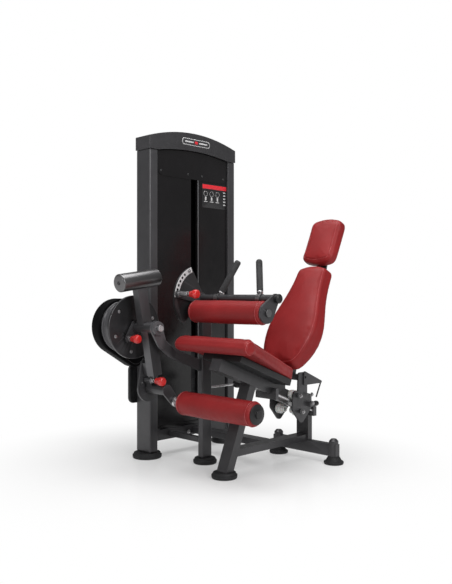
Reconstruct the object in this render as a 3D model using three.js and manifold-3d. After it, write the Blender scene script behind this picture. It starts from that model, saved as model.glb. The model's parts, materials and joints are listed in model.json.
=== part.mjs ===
// Leg extension and seated leg curl machine with a weight tower.
// Millimetres. +X runs along the rollers to the user's left, +Y points behind the user, +Z is up.
// The origin is on the floor, under the centre post's foot.
import * as THREE from 'three';
import { mergeVertices } from 'three/addons/utils/BufferGeometryUtils.js';
import Module from 'manifold-3d';

const wasm = await Module();
wasm.setup();

// ---------------------------------------------------------------- driving dimensions
const GAP = 0.3;               // clearance between neighbouring pieces
const RUN = 0.6;               // clearance around a turning piece

const TOWER = { x0: -334, x1: -231, y0: -141, y1: 434, post: 50, z0: 30, z1: 1480 };
const CAP = { ends: 1543, peak: 1590, over: 3, lower: 22 };
const SHROUD = { depth: 16, recess: 12, z0: 150 };
const SLOT = { y0: 134, y1: 178, z0: 200, z1: 1388 };
const TRIM = { z0: 1362, corner: 42 };
const FOOT = { thick: 28, tower: 70, centre: 55, front: 56, rear: 46 };

const POST = { x: 30, y: 60, top: 744 };          // centre post
const RAIL = { x: 259, half: 30, z0: 88, z1: 118 };   // base rail of the seat side
const REAR = { x: 262, half: 35, y0: 393, y1: 423, top: 338 };
const CROSS = { x0: 79, x1: 458, z0: 36, z1: 92 };    // rear cross tube
const REAR_FEET_X = [101, 436];
const REAR_FOOT_Y = 408;

const SEAT = { x: 262, pitch: 21.5, front: -217, top: 606 };
const CUSHION = { x: 253, half: 222, rearHalf: 110, length: 470, rise: 7.5, under: -45 };
const ROLL = { y: -190, z: 570.5, r: 35 };        // round front edge of the seat cushion
const BACK = { x: 262, lean: 31, thick: 66, foot: [200, 470], length: 516 };
const HEAD = { lean: 25, thick: 50, foot: [490, 950], length: 212, width: 162 };

const KNEE = { y: -290, z: 637 };                 // main pivot of the swinging arm
const DISC = { r: 144, x0: -166, x1: -158, step: 12 };
const DRUM = { r: 118, x0: -248, x1: -168 };
const HOUSING = { r: 125, small: 57, y: -205, z: 505, x0: -313, x1: -252 };
const ARM = { x: -85, wide: 40, deep: 50, lowerX: -64, lowerWide: 46, top: [-318, 812], low: [-238, 361] };
const WEIGHT = { r: 40, length: 216, y: -326, z: 848, rise: 8 };
const PLUNGER_RADIUS = 66;                        // start-position plunger, from the knee axis

const CRANK = { y: -238, z: 361, rollerY: -193, rollerZ: 307, pinY: -262, pinZ: 401 };
const ANKLE = { x0: 60, x1: 503, r: 51 };
const THIGH = { y: -50, z: 768, rollerY: -104, rollerZ: 709, x0: 22, x1: 469, r: 49 };
const LOCK = { r: 150, holes: 138, hole: 6, step: 8.4, x0: 2, x1: 12 };   // plate that locks the thigh bar

const CARRIAGE = {
  plates: [191, 325],          // inner X of the two side plates
  thick: 8,
  rodX: [212, 312],
  rodRadius: 7,
  wheel: 23.5,
  onRod: [270, 286.7],         // a point of the guide rods' centre line
};

const LATCH = { x: 343, y: 380, z: 272, pin: 5 };    // pin that holds the carriage

const COLOUR = {
  frame: { color: 0x3c3b3d, roughness: 0.45, metalness: 0.5 },
  panel: { color: 0x1f1e20, roughness: 0.3, metalness: 0.2 },
  red: { color: 0x8e2a2c, roughness: 0.6, metalness: 0 },
  knob: { color: 0xd2382f, roughness: 0.4, metalness: 0 },
  rubber: { color: 0x141415, roughness: 0.85, metalness: 0 },
  plastic: { color: 0x1a1a1b, roughness: 0.5, metalness: 0 },
  steel: { color: 0xb9b6b8, roughness: 0.3, metalness: 0.9 },
  nylon: { color: 0xe2e2df, roughness: 0.5, metalness: 0 },
  iron: { color: 0x2e2d2f, roughness: 0.6, metalness: 0.6 },
};

// ---------------------------------------------------------------- helpers
const machine = new THREE.Group();
machine.name = 'leg_extension_machine';
const rad = THREE.MathUtils.degToRad;
const crankPinAngle = Math.atan2(CRANK.pinZ - CRANK.z, CRANK.pinY - CRANK.y);
const crankPinRadius = Math.hypot(CRANK.pinZ - CRANK.z, CRANK.pinY - CRANK.y);

function add(name, geometry, look) {
  const mesh = new THREE.Mesh(geometry, new THREE.MeshStandardMaterial(COLOUR[look]));
  mesh.name = name;
  machine.add(mesh);
  return mesh;
}

function solid(geometry) {
  const bare = geometry.clone();
  bare.deleteAttribute('normal');
  bare.deleteAttribute('uv');
  const merged = mergeVertices(bare, 1e-4);
  return new wasm.Manifold(new wasm.Mesh({
    numProp: 3,
    vertProperties: new Float32Array(merged.attributes.position.array),
    triVerts: new Uint32Array(merged.index.array),
  }));
}

function geometryOf(manifold) {
  const mesh = manifold.getMesh();
  const geometry = new THREE.BufferGeometry();
  geometry.setAttribute('position', new THREE.BufferAttribute(new Float32Array(mesh.vertProperties), 3));
  geometry.setIndex(new THREE.BufferAttribute(new Uint32Array(mesh.triVerts), 1));
  geometry.computeVertexNormals();
  return geometry;
}

function join(...geometries) {
  return geometryOf(geometries.map(solid).reduce((sum, piece) => sum.add(piece)));
}

function cut(geometry, ...tools) {
  return geometryOf(tools.map(solid).reduce((rest, tool) => rest.subtract(tool), solid(geometry)));
}

// A box between two corners.
function box(x0, x1, y0, y1, z0, z1) {
  const geometry = new THREE.BoxGeometry(x1 - x0, y1 - y0, z1 - z0);
  geometry.translate((x0 + x1) / 2, (y0 + y1) / 2, (z0 + z1) / 2);
  return geometry;
}

// A cylinder along X, at (y, z).
function rod(x0, x1, y, z, r, sides = 24) {
  const geometry = new THREE.CylinderGeometry(r, r, x1 - x0, sides);
  geometry.rotateZ(Math.PI / 2);
  geometry.translate((x0 + x1) / 2, y, z);
  return geometry;
}

// A standing cylinder, or a cone when the two radii differ.
function pillar(x, y, z0, z1, r, rTop = r, sides = 24) {
  const geometry = new THREE.CylinderGeometry(rTop, r, z1 - z0, sides);
  geometry.rotateX(Math.PI / 2);
  geometry.translate(x, y, (z0 + z1) / 2);
  return geometry;
}

// A shape drawn in (y, z), given thickness from x0 to x1.
function slab(shape, x0, x1, curveSegments = 8) {
  const geometry = new THREE.ExtrudeGeometry(shape, { depth: x1 - x0, bevelEnabled: false, curveSegments });
  geometry.applyMatrix4(new THREE.Matrix4().set(0, 0, 1, x0, 1, 0, 0, 0, 0, 1, 0, 0, 0, 0, 0, 1));
  return geometry;
}

// A turned profile of [radius, x] points about the line (y, z) along X.
function turned(points, y, z, sides = 24) {
  const profile = points.map(([r, x]) => new THREE.Vector2(r, x));
  const geometry = new THREE.LatheGeometry(profile, sides);
  geometry.rotateZ(-Math.PI / 2);
  geometry.translate(0, y, z);
  return geometry;
}

function outline(points) {
  return new THREE.Shape(points.map(([a, b]) => new THREE.Vector2(a, b)));
}

// The outline around two circles, like a link or a teardrop.
function hullOfCircles(a, b) {
  const dy = b.y - a.y;
  const dz = b.z - a.z;
  const along = Math.atan2(dz, dy);
  const spread = Math.acos((a.r - b.r) / Math.hypot(dy, dz));
  const shape = new THREE.Shape();
  shape.absarc(a.y, a.z, a.r, along + spread, along - spread + 2 * Math.PI, false);
  shape.absarc(b.y, b.z, b.r, along - spread, along + spread, false);
  shape.closePath();
  return shape;
}

function roundedRect(y0, y1, z0, z1, r) {
  const shape = new THREE.Shape();
  shape.absarc(y1 - r, z0 + r, r, -Math.PI / 2, 0, false);
  shape.absarc(y1 - r, z1 - r, r, 0, Math.PI / 2, false);
  shape.absarc(y0 + r, z1 - r, r, Math.PI / 2, Math.PI, false);
  shape.absarc(y0 + r, z0 + r, r, Math.PI, 1.5 * Math.PI, false);
  shape.closePath();
  return shape;
}

// A straight bar between two (y, z) points, wide in X about x.
function bar(x, wide, deep, from, to) {
  const dy = to[0] - from[0];
  const dz = to[1] - from[1];
  const geometry = new THREE.BoxGeometry(wide, Math.hypot(dy, dz), deep);
  geometry.rotateX(Math.atan2(dz, dy));
  geometry.translate(x, (from[0] + to[0]) / 2, (from[1] + to[1]) / 2);
  return geometry;
}

// ---------------------------------------------------------------- weight tower
const towerMidY = (TOWER.y0 + TOWER.y1) / 2;
const towerMidX = (TOWER.x0 + TOWER.x1) / 2;
const inner = { y0: TOWER.y0 + TOWER.post, y1: TOWER.y1 - TOWER.post };

function towerFrame() {
  const post = (y0) => box(TOWER.x0, TOWER.x1, y0, y0 + TOWER.post, TOWER.z0, TOWER.z1);
  const cross = (z0, z1) => box(TOWER.x0 + 10, TOWER.x1 - 32, inner.y0 - 5, inner.y1 + 5, z0, z1);
  const base = box(TOWER.x0 + 10, TOWER.x1 - 10, inner.y0 - 5, inner.y1 + 5, 80, 130);
  const top = cross(TOWER.z1 - 40, TOWER.z1 - 8);
  add('tower_frame', join(post(TOWER.y0), post(TOWER.y1 - TOWER.post), base, top), 'frame');
}

function topCap() {
  const y0 = TOWER.y0 - CAP.over;
  const y1 = TOWER.y1 + CAP.over;
  const bottom = TOWER.z1 + GAP;
  const shape = new THREE.Shape();
  shape.moveTo(y0, bottom);
  shape.lineTo(inner.y0, bottom);
  shape.quadraticCurveTo(towerMidY, bottom + 2 * CAP.lower, inner.y1, bottom);
  shape.lineTo(y1, bottom);
  shape.lineTo(y1, CAP.ends);
  shape.quadraticCurveTo(towerMidY, 2 * CAP.peak - CAP.ends, y0, CAP.ends);
  shape.closePath();
  add('top_cap', slab(shape, TOWER.x0 - CAP.over, TOWER.x1 + CAP.over, 14), 'frame');
}

function shrouds() {
  const face = TOWER.x1 - SHROUD.recess;
  const y0 = inner.y0 + GAP;
  const y1 = inner.y1 - GAP;
  const top = TOWER.z1 - GAP;
  const sheet = box(face - SHROUD.depth, face, y0, y1, SHROUD.z0, top);
  const slot = slab(roundedRect(SLOT.y0, SLOT.y1, SLOT.z0, SLOT.z1, 12), face - 50, face + 50, 4);
  add('slotted_shroud', cut(sheet, slot), 'panel');
  const arched = (shape, left, right, z) => {
    shape.lineTo(right, z);
    shape.quadraticCurveTo(towerMidY, z + 2 * CAP.lower, left, z);
    shape.closePath();
  };
  const back = new THREE.Shape();
  back.moveTo(y0, SHROUD.z0);
  back.lineTo(y1, SHROUD.z0);
  arched(back, y0, y1, top - 1);
  add('back_shroud', slab(back, TOWER.x0 + 4, TOWER.x0 + 7, 12), 'panel');

  const shape = new THREE.Shape();
  const left = y0 + 4;
  const right = y1 - 4;
  shape.moveTo(left, TRIM.z0 + TRIM.corner);
  shape.quadraticCurveTo(left, TRIM.z0, left + TRIM.corner, TRIM.z0);
  shape.lineTo(right - TRIM.corner, TRIM.z0);
  shape.quadraticCurveTo(right, TRIM.z0, right, TRIM.z0 + TRIM.corner);
  arched(shape, left, right, top - 3);
  add('upper_trim_panel', slab(shape, face + GAP, face + GAP + 3, 12), 'panel');
}

function weightStack() {
  const plate = { x0: -306, x1: -264, y0: 22, y1: 290, pitch: 26, thick: 25, count: 14, z0: 176 };
  const rodY = [46, 266];
  const bore = 12;
  const rodRadius = 10;
  const holes = rodY.map((y) => pillar(towerMidX, y, 100, 1500, bore, bore, 8));
  const lifted = 4;
  const stemY = (SLOT.y0 + SLOT.y1) / 2;
  const pinZ = plate.z0 + (plate.count - lifted) * plate.pitch + plate.thick / 2;

  // Neighbouring plates touch along a narrow web, so a block of them is one solid.
  function block(from, to) {
    const pieces = [];
    for (let i = from; i < to; i += 1) {
      const z = plate.z0 + i * plate.pitch;
      pieces.push(box(plate.x0, plate.x1, plate.y0, plate.y1, z, z + plate.thick));
      if (i < to - 1) {
        pieces.push(box(plate.x0 + 4, plate.x1 - 4, 100, 212, z + plate.thick - 1, z + plate.pitch + 1));
      }
    }
    return join(...pieces);
  }
  add('resting_weight_plates', cut(block(0, plate.count - lifted), ...holes), 'iron');
  const top = plate.z0 + plate.count * plate.pitch;
  const stem = pillar(towerMidX, stemY, top - 4, top + 90, 12, 12, 12);
  const pinHole = rod(-290, -260, stemY, pinZ, 6, 12);
  const moving = block(plate.count - lifted, plate.count);
  add('lifted_weight_plates', cut(join(moving, stem), ...holes, pinHole), 'iron');
  add('selector_pin', join(
    rod(-289, -258, stemY, pinZ, 5.5, 12),
    rod(-261, -236, stemY, pinZ, 12, 16),
  ), 'knob');
  for (const [i, y] of rodY.entries()) {
    add(`guide_rod_${i === 0 ? 'front' : 'rear'}`,
      pillar(towerMidX, y, 130 + GAP, TOWER.z1 - 40 - GAP, rodRadius, rodRadius, 12), 'steel');
  }
}

function pulley(name, y, z) {
  const half = 14;
  const x = towerMidX;
  const groove = 4;
  add(name, turned([
    [0, x - half], [44, x - half], [44, x - half + 3], [44 - groove, x - half + 5],
    [44 - groove, x + half - 5], [44, x + half - 3], [44, x + half], [0, x + half],
  ], y, z, 20), 'plastic');
}

towerFrame();
topCap();
shrouds();
weightStack();
pulley('top_pulley', 110, 1376);

function foot(name, x, y, r, thick = FOOT.thick) {
  const sole = 5;
  add(name, pillar(x, y, 0, thick - GAP, r - sole / 2, r, 28), 'rubber');
}
foot('tower_foot_front', towerMidX, TOWER.y0 + TOWER.post / 2, FOOT.tower);
foot('tower_foot_rear', towerMidX, TOWER.y1 - TOWER.post / 2, FOOT.tower);

// ---------------------------------------------------------------- base and seat frame
function pitched(y, z, along, lift) {
  const a = rad(SEAT.pitch);
  return [y + along * Math.cos(a) + lift * Math.sin(a), z - along * Math.sin(a) + lift * Math.cos(a)];
}

const slope = Math.tan(rad(SEAT.pitch));
const railZ = (y) => CARRIAGE.onRod[1] - slope * (y - CARRIAGE.onRod[0]);
const seatTop = [SEAT.front + 12, SEAT.top];      // front top edge of the cushion
const seatPoint = (along, lift) => pitched(seatTop[0], seatTop[1], along, lift);

function seatSlab(x0, x1, from, to, under, over) {
  const [ay, az] = seatPoint(from, (under + over) / 2);
  const [by, bz] = seatPoint(to, (under + over) / 2);
  return bar((x0 + x1) / 2, x1 - x0, over - under, [ay, az], [by, bz]);
}

function centrePost() {
  const post = box(-POST.x / 2, POST.x / 2, -POST.y / 2, POST.y / 2, FOOT.thick, POST.top);
  const tie = box(TOWER.x1 - 10 + GAP, -POST.x / 2 + 5, -22, 2, 96, 120);
  add('centre_post', join(post, tie), 'frame');
  foot('centre_foot', 0, 0, FOOT.centre);
}

function seatFrame() {
  const legFoot = -135;
  const legAngle = rad(23);
  const legTop = 440;
  const onLeg = (z) => legFoot + (z - FOOT.thick) * Math.tan(legAngle);
  const floorSide = box(0, 500, -400, 400, -100, FOOT.thick);
  const leg = cut(bar(RAIL.x, 60, 40, [legFoot, FOOT.thick - 20], [onLeg(legTop), legTop]), floorSide);
  const rail = box(RAIL.x - RAIL.half, RAIL.x + RAIL.half, onLeg(RAIL.z1), REAR.y0 + 5, RAIL.z0, RAIL.z1);
  const upright = box(REAR.x - REAR.half, REAR.x + REAR.half, REAR.y0, REAR.y1, CROSS.z1 - 5, REAR.top);
  const crossTube = box(CROSS.x0, CROSS.x1, REAR.y0, REAR.y1, CROSS.z0, CROSS.z1);
  const sockets = REAR_FEET_X.flatMap((x) => [
    pillar(x, REAR_FOOT_Y, CROSS.z0, 106, 22, 22, 20), pillar(x, REAR_FOOT_Y, 106, 116, 22, 13, 20),
  ]);
  const reach = (REAR.y1 - seatTop[0]) / Math.cos(rad(SEAT.pitch));
  const seatRail = seatSlab(SEAT.x - 30, SEAT.x + 30, 60, reach, -127, -75);
  const above = seatSlab(0, 500, -300, 900, -76, 200);

  const [x0, x1] = [CARRIAGE.rodX[0] - 12, CARRIAGE.rodX[1] + 12];
  const rodStart = 152;
  const front = box(x0, x1, 130, rodStart - 4, railZ(rodStart) - 20, railZ(rodStart) + 30);
  const rearZ = railZ(REAR.y1);
  const rear = box(x0, x1, REAR.y0 + 8, REAR.y1, rearZ - 18, rearZ + 26);
  const rodHoles = CARRIAGE.rodX.map((x) => {
    const hole = new THREE.CylinderGeometry(CARRIAGE.rodRadius + GAP, CARRIAGE.rodRadius + GAP, 120, 16);
    hole.rotateX(-rad(SEAT.pitch));
    hole.translate(x, REAR.y1, railZ(REAR.y1));
    return hole;
  });
  add('seat_frame', cut(join(leg, rail, upright, crossTube, seatRail, front, rear, ...sockets), above, ...rodHoles), 'frame');
  foot('front_foot', RAIL.x, legFoot + 4, FOOT.front);
  for (const [i, x] of REAR_FEET_X.entries()) {
    foot(i === 0 ? 'rear_foot_right' : 'rear_foot_left', x, REAR_FOOT_Y, FOOT.rear, CROSS.z0);
  }
  add('link_beam', box(TOWER.x1 - 10 + GAP, RAIL.x - RAIL.half - GAP, 137, 197, RAIL.z0, RAIL.z1), 'frame');
}

function seat() {
  add('seat_pan', seatSlab(SEAT.x - 120, SEAT.x + 110, 86, 436, -75, CUSHION.under - 1), 'plastic');
  const { half, rearHalf, length, rise, under } = CUSHION;
  const corner = 36;
  const front = (ROLL.y - seatTop[0]) / Math.cos(rad(SEAT.pitch));
  const shape = new THREE.Shape();
  shape.moveTo(-half, front);
  shape.lineTo(half, front);
  shape.lineTo(rearHalf, length - corner);
  shape.quadraticCurveTo(rearHalf - 4, length, rearHalf - corner, length);
  shape.lineTo(-rearHalf + corner, length);
  shape.quadraticCurveTo(-rearHalf + 4, length, -rearHalf, length - corner);
  shape.closePath();
  const board = new THREE.ExtrudeGeometry(shape, { depth: rise - under, bevelEnabled: false, curveSegments: 4 });
  board.translate(0, 0, under);
  board.rotateX(-rad(SEAT.pitch));
  board.translate(CUSHION.x, seatTop[0], seatTop[1]);
  const edge = 6;
  const roll = turned([
    [0, CUSHION.x - half], [ROLL.r - edge, CUSHION.x - half], [ROLL.r, CUSHION.x - half + edge],
    [ROLL.r, CUSHION.x + half - edge], [ROLL.r - edge, CUSHION.x + half], [0, CUSHION.x + half],
  ], ROLL.y, ROLL.z, 32);
  const cushion = join(board, roll);
  add('seat_cushion', cushion, 'red');
}

centrePost();
seatFrame();
seat();

// ---------------------------------------------------------------- swinging arm
const startAngle = rad(228);

function leverageCam() {
  const { y, z } = KNEE;
  const shaft = 14;
  add('knee_shaft', rod(DRUM.x0 - 50, 30, y, z, shaft - GAP, 24), 'steel');
  add('cam_drum', turned([
    [shaft, DRUM.x0], [DRUM.r, DRUM.x0], [DRUM.r, DRUM.x0 + 6], [DRUM.r - 8, DRUM.x0 + 10],
    [DRUM.r - 8, DRUM.x1 - 10], [DRUM.r, DRUM.x1 - 6], [DRUM.r, DRUM.x1], [shaft, DRUM.x1], [shaft, DRUM.x0],
  ], y, z, 36), 'frame');
  const plate = rod(DISC.x0, DISC.x1, y, z, DISC.r, 40);
  const holes = [rod(DISC.x0 - 5, DISC.x1 + 5, y, z, shaft, 24)];
  for (let i = -7; i < 3; i += 1) {
    const a = startAngle - rad(i * DISC.step);
    const at = [y + PLUNGER_RADIUS * Math.cos(a), z + PLUNGER_RADIUS * Math.sin(a)];
    holes.push(rod(DISC.x0 - 5, DISC.x1 + 5, at[0], at[1], 6.6, 8));
  }
  add('start_position_disc', cut(plate, ...holes), 'frame');
}

const startPlunger = {
  y: KNEE.y + PLUNGER_RADIUS * Math.cos(startAngle),
  z: KNEE.z + PLUNGER_RADIUS * Math.sin(startAngle),
};

function arm() {
  const [topY, topZ] = ARM.top;
  const [lowY, lowZ] = ARM.low;
  const lean = Math.atan2(lowY - topY, topZ - lowZ);
  const end = (s) => [lowY - s * Math.sin(lean), lowZ + s * Math.cos(lean)];
  const sector = { x0: -128, x1: -118, r: 62 };
  const tube = bar(ARM.x, ARM.wide, ARM.deep, ARM.top, end(280));
  const lowerTube = bar(ARM.lowerX, ARM.lowerWide, ARM.deep, end(280), end(64));
  const hub = rod(-146, -16, KNEE.y, KNEE.z, 26);
  const spindle = rod(sector.x0, 0, lowY, lowZ, 14);
  const plate = slab(hullOfCircles(
    { y: lowY, z: lowZ, r: sector.r }, { y: end(110)[0], z: end(110)[1], r: 24 },
  ), sector.x0, sector.x1);
  const spacer = bar(-101, 46, 40, end(66), end(120));
  const plungerArm = slab(hullOfCircles(
    { y: KNEE.y, z: KNEE.z, r: 34 }, { ...startPlunger, r: 20 },
  ), -146, -136);
  const tools = [rod(-147, -15, KNEE.y, KNEE.z, 14 + RUN), rod(-147, -135, startPlunger.y, startPlunger.z, 6.6, 16)];
  for (const turn of [-60, -30, 0, 30]) {
    const a = crankPinAngle + rad(turn);
    tools.push(rod(-130, -116, CRANK.y + crankPinRadius * Math.cos(a), CRANK.z + crankPinRadius * Math.sin(a), 7, 12));
  }
  add('swing_arm', cut(join(tube, lowerTube, hub, spindle, plate, spacer, plungerArm), ...tools), 'frame');

  const weight = new THREE.CylinderGeometry(WEIGHT.r, WEIGHT.r, WEIGHT.length, 32);
  weight.rotateX(rad(WEIGHT.rise));
  weight.translate(ARM.x, WEIGHT.y, WEIGHT.z);
  const socket = bar(ARM.x, ARM.wide + 2 * GAP, ARM.deep + 2 * GAP, [topY, topZ + GAP], end(300));
  add('counterweight', cut(weight, socket), 'frame');
  plunger('start_plunger', startPlunger, DISC.x1 + 1, -126, -118, -68);
}

// A pull-knob plunger along X: pin from pinX, collar from collarX, grip from gripX to endX.
function plunger(name, at, pinX, collarX, gripX, endX) {
  const reach = endX - gripX;
  add(name, turned([
    [0, pinX], [6, pinX], [6, collarX], [11, collarX], [11, gripX], [13, gripX],
    [20, gripX + 0.45 * reach], [21, gripX + 0.7 * reach], [18, endX], [0, endX],
  ], at.y, at.z, 14), 'knob');
}

function ankleCrank() {
  const axle = 10;
  const { y, z, rollerY, rollerZ } = CRANK;
  const pin = { y: CRANK.pinY, z: CRANK.pinZ };
  const link = slab(hullOfCircles({ y, z, r: 26 }, { y: rollerY, z: rollerZ, r: 22 }), 2, 12);
  const hub = rod(-114, 6, y, z, 24);
  const guide = rod(-112, -70, pin.y, pin.z, 11, 20);
  const web = slab(hullOfCircles({ y, z, r: 14 }, { ...pin, r: 8 }), -110, -72);
  add('ankle_crank', cut(join(link, hub, guide, web),
    rod(-116, 1, y, z, 14 + RUN), rod(-113, -69, pin.y, pin.z, 6.6, 16),
    rod(1, 13, rollerY, rollerZ, axle, 20)), 'frame');
  add('ankle_axle', join(
    rod(3, ANKLE.x1 + 4, rollerY, rollerZ, axle - GAP, 20),
    rod(13, 26, rollerY, rollerZ, 24, 24),
    rod(26, ANKLE.x0 - 2, rollerY, rollerZ, 17, 24),
  ), 'steel');
  add('ankle_end_cap', cut(
    turned([[0, ANKLE.x1 + 1], [42, ANKLE.x1 + 1], [42, ANKLE.x1 + 4], [17, ANKLE.x1 + 8], [17, ANKLE.x1 + 15],
      [0, ANKLE.x1 + 15]], rollerY, rollerZ, 24),
    rod(ANKLE.x1 - 2, ANKLE.x1 + 5, rollerY, rollerZ, axle, 20),
  ), 'plastic');
  roller('ankle_roller', ANKLE, rollerY, rollerZ, axle);
  plunger('ankle_plunger', pin, -117, -59, -38, 14);
}

function roller(name, at, y, z, axle) {
  const bore = axle + RUN;
  const soft = 16;
  const profile = [[bore, at.x0], [at.r - soft, at.x0]];
  for (let i = 1; i <= 3; i += 1) {
    const a = rad(30 * i);
    profile.push([at.r - soft + soft * Math.sin(a), at.x0 + soft - soft * Math.cos(a)]);
  }
  for (let i = 0; i <= 3; i += 1) {
    const a = rad(30 * i);
    profile.push([at.r - soft + soft * Math.cos(a), at.x1 - soft + soft * Math.sin(a)]);
  }
  profile.push([bore, at.x1], [bore, at.x0]);
  add(name, turned(profile, y, z, 24), 'red');
}

leverageCam();
arm();
ankleCrank();

// ---------------------------------------------------------------- fixed parts around the arm
function armSupports() {
  const { y, z } = KNEE;
  const bend = [{ y, z, r: 32 }, { y: -258, z: 568, r: 24 }, { y: -200, z: 522, r: 22 }, { y: -24, z: 455, r: 26 }];
  const support = bend.slice(1).map((end, i) => slab(hullOfCircles(bend[i], end), -10, 0, 6));
  const post = box(-POST.x / 2 - GAP, POST.x / 2 + GAP, -POST.y / 2 - GAP, POST.y / 2 + GAP, 0, POST.top + 5);
  const collar = rod(-12, 14, y, z, 30);
  add('knee_bearing_bracket', cut(join(...support, collar), post, rod(-20, 20, y, z, 14 + RUN)), 'frame');

  const shell = slab(hullOfCircles({ y, z, r: HOUSING.r }, { y: HOUSING.y, z: HOUSING.z, r: HOUSING.small }),
    HOUSING.x0, HOUSING.x1, 20);
  const pocket = rod(HOUSING.x0 + 14, HOUSING.x1 + 2, y, z, 14 + RUN);
  const lug = box(TOWER.x0 + 24, TOWER.x1 - 24, -170, TOWER.y0 - GAP, 500, 560);
  add('belt_housing', cut(join(shell, lug), pocket), 'plastic');
  add('lower_pulley_cover', slab(roundedRect(-178, -84, 262, 446, 26), -352, TOWER.x0 - GAP, 5), 'plastic');
}

// ---------------------------------------------------------------- thigh pad
function thighBar() {
  const { y, z, rollerY, rollerZ } = THIGH;
  const axle = 10;
  const barR = 17;
  const shape = new THREE.Shape();
  shape.absarc(0, 0, LOCK.r, rad(108), rad(232), false);
  shape.lineTo(34 * Math.cos(rad(250)), 34 * Math.sin(rad(250)));
  shape.absarc(0, 0, 34, rad(250), rad(405), false);
  shape.closePath();
  const plate = slab(shape, LOCK.x0, LOCK.x1, 16);
  plate.translate(0, y, z);
  const holes = [];
  const lockAt = (turn) => {
    const a = rad(172) - rad(turn);
    return { y: y + LOCK.holes * Math.cos(a), z: z + LOCK.holes * Math.sin(a) };
  };
  for (let i = 0; i < 6; i += 1) {
    const at = lockAt(i * LOCK.step);
    holes.push(rod(LOCK.x0 - 5, LOCK.x1 + 12, at.y, at.z, LOCK.hole + RUN, 8));
  }
  const seatOnPost = box(-POST.x / 2 - GAP, POST.x / 2 + GAP, -POST.y / 2 - GAP, POST.y / 2 + GAP, 0, POST.top + GAP);
  const base = box(-14, 14, -28, 28, POST.top + GAP, 762);
  const barBore = rod(-30, 30, y, z, barR + RUN);
  add('thigh_lock_plate', cut(join(plate, base, box(LOCK.x1 - 1, LOCK.x1 + 6, -26, 26, 740, 770)),
    seatOnPost, barBore, ...holes), 'frame');
  const strip = new THREE.Shape();
  strip.absarc(0, 0, LOCK.r - 1, rad(110), rad(178), false);
  strip.absarc(0, 0, LOCK.r - 24, rad(178), rad(110), true);
  strip.closePath();
  const sheet = slab(strip, LOCK.x1 + GAP, LOCK.x1 + GAP + 3, 14);
  sheet.translate(0, y, z);
  add('lock_hole_strip', cut(sheet, ...holes), 'steel');

  const pinAt = lockAt(0);
  const lever = slab(hullOfCircles({ y, z, r: 26 }, { ...pinAt, r: 16 }), 20, 30);
  const padPlate = slab(hullOfCircles({ y: rollerY, z: rollerZ, r: 44 }, { y, z, r: 21 }), THIGH.x1 + 4, THIGH.x1 + 12);
  const farPlate = slab(hullOfCircles({ y: rollerY, z: rollerZ, r: 22 }, { y, z, r: 24 }), 30, 38);
  const pinBore = rod(19, 31, pinAt.y, pinAt.z, 6.6, 16);
  const tube = rod(0, THIGH.x1 + 20, y, z, barR, 28);
  const axleBores = rod(29, THIGH.x1 + 20, rollerY, rollerZ, axle, 20);
  add('thigh_bar', cut(join(tube, lever, padPlate, farPlate), pinBore, axleBores), 'frame');
  add('thigh_bar_cap', turned([
    [0, THIGH.x1 + 20 + GAP], [20, THIGH.x1 + 20 + GAP], [20, THIGH.x1 + 30], [14, THIGH.x1 + 36], [0, THIGH.x1 + 36],
  ], y, z, 24), 'plastic');
  add('thigh_axle', join(
    rod(32, THIGH.x1 + 16, rollerY, rollerZ, axle - GAP, 20),
    rod(THIGH.x1 + 12 + GAP, THIGH.x1 + 22, rollerY, rollerZ, 16, 20),
  ), 'steel');
  roller('thigh_roller', { x0: 40, x1: THIGH.x1 + 2, r: THIGH.r }, rollerY, rollerZ, axle);
  plunger('thigh_plunger', pinAt, LOCK.x1 + 4.3, 45, 106, 152);
}

function grips() {
  const length = 152;
  const start = 34;
  for (const [name, x, side] of [['grip_left', 392, -1], ['grip_right', 138, 1]]) {
    const lean = 23;
    const direction = new THREE.Vector3(side * Math.sin(rad(lean)), Math.sin(rad(lean)), 1).normalize();
    const turn = new THREE.Quaternion().setFromUnitVectors(new THREE.Vector3(0, 1, 0), direction);
    const stem = new THREE.CylinderGeometry(8, 8, 28, 12);
    stem.applyQuaternion(turn);
    stem.translate(x + direction.x * 20, THIGH.y + direction.y * 20, THIGH.z + direction.z * 20);
    const saddle = rod(x - 12, x + 12, THIGH.y, THIGH.z, 21, 24);
    const tube = rod(x - 60, x + 60, THIGH.y, THIGH.z, 17 + GAP, 28);
    const inside = new THREE.CylinderGeometry(7.7, 7.7, length - 8, 12);
    inside.applyQuaternion(turn);
    const mid = start + length / 2 - 6;
    inside.translate(x + direction.x * mid, THIGH.y + direction.y * mid, THIGH.z + direction.z * mid);
    add(`${name}_post`, cut(join(saddle, stem, inside), tube), 'steel');
    const foam = new THREE.LatheGeometry([
      [8.2, 0], [14.5, 0], [14.5, length - 8], [12, length - 2], [8, length], [0, length], [0, length - 6],
      [8.2, length - 6], [8.2, 0],
    ].map(([r, h]) => new THREE.Vector2(r, h)), 16);
    foam.applyQuaternion(turn);
    foam.translate(x + direction.x * start, THIGH.y + direction.y * start, THIGH.z + direction.z * start);
    add(`${name}_sleeve`, foam, 'rubber');
  }
}

armSupports();
thighBar();
grips();

// ---------------------------------------------------------------- sliding backrest
function roundedPolygon(points, r) {
  const shape = new THREE.Shape();
  const count = points.length;
  for (let i = 0; i < count; i += 1) {
    const before = points[(i + count - 1) % count];
    const here = points[i];
    const after = points[(i + 1) % count];
    const a = Math.atan2(before[0] - here[0], here[1] - before[1]);
    const b = Math.atan2(here[0] - after[0], after[1] - here[1]);
    shape.absarc(here[0], here[1], r, a, b, false);
  }
  shape.closePath();
  return shape;
}

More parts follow.
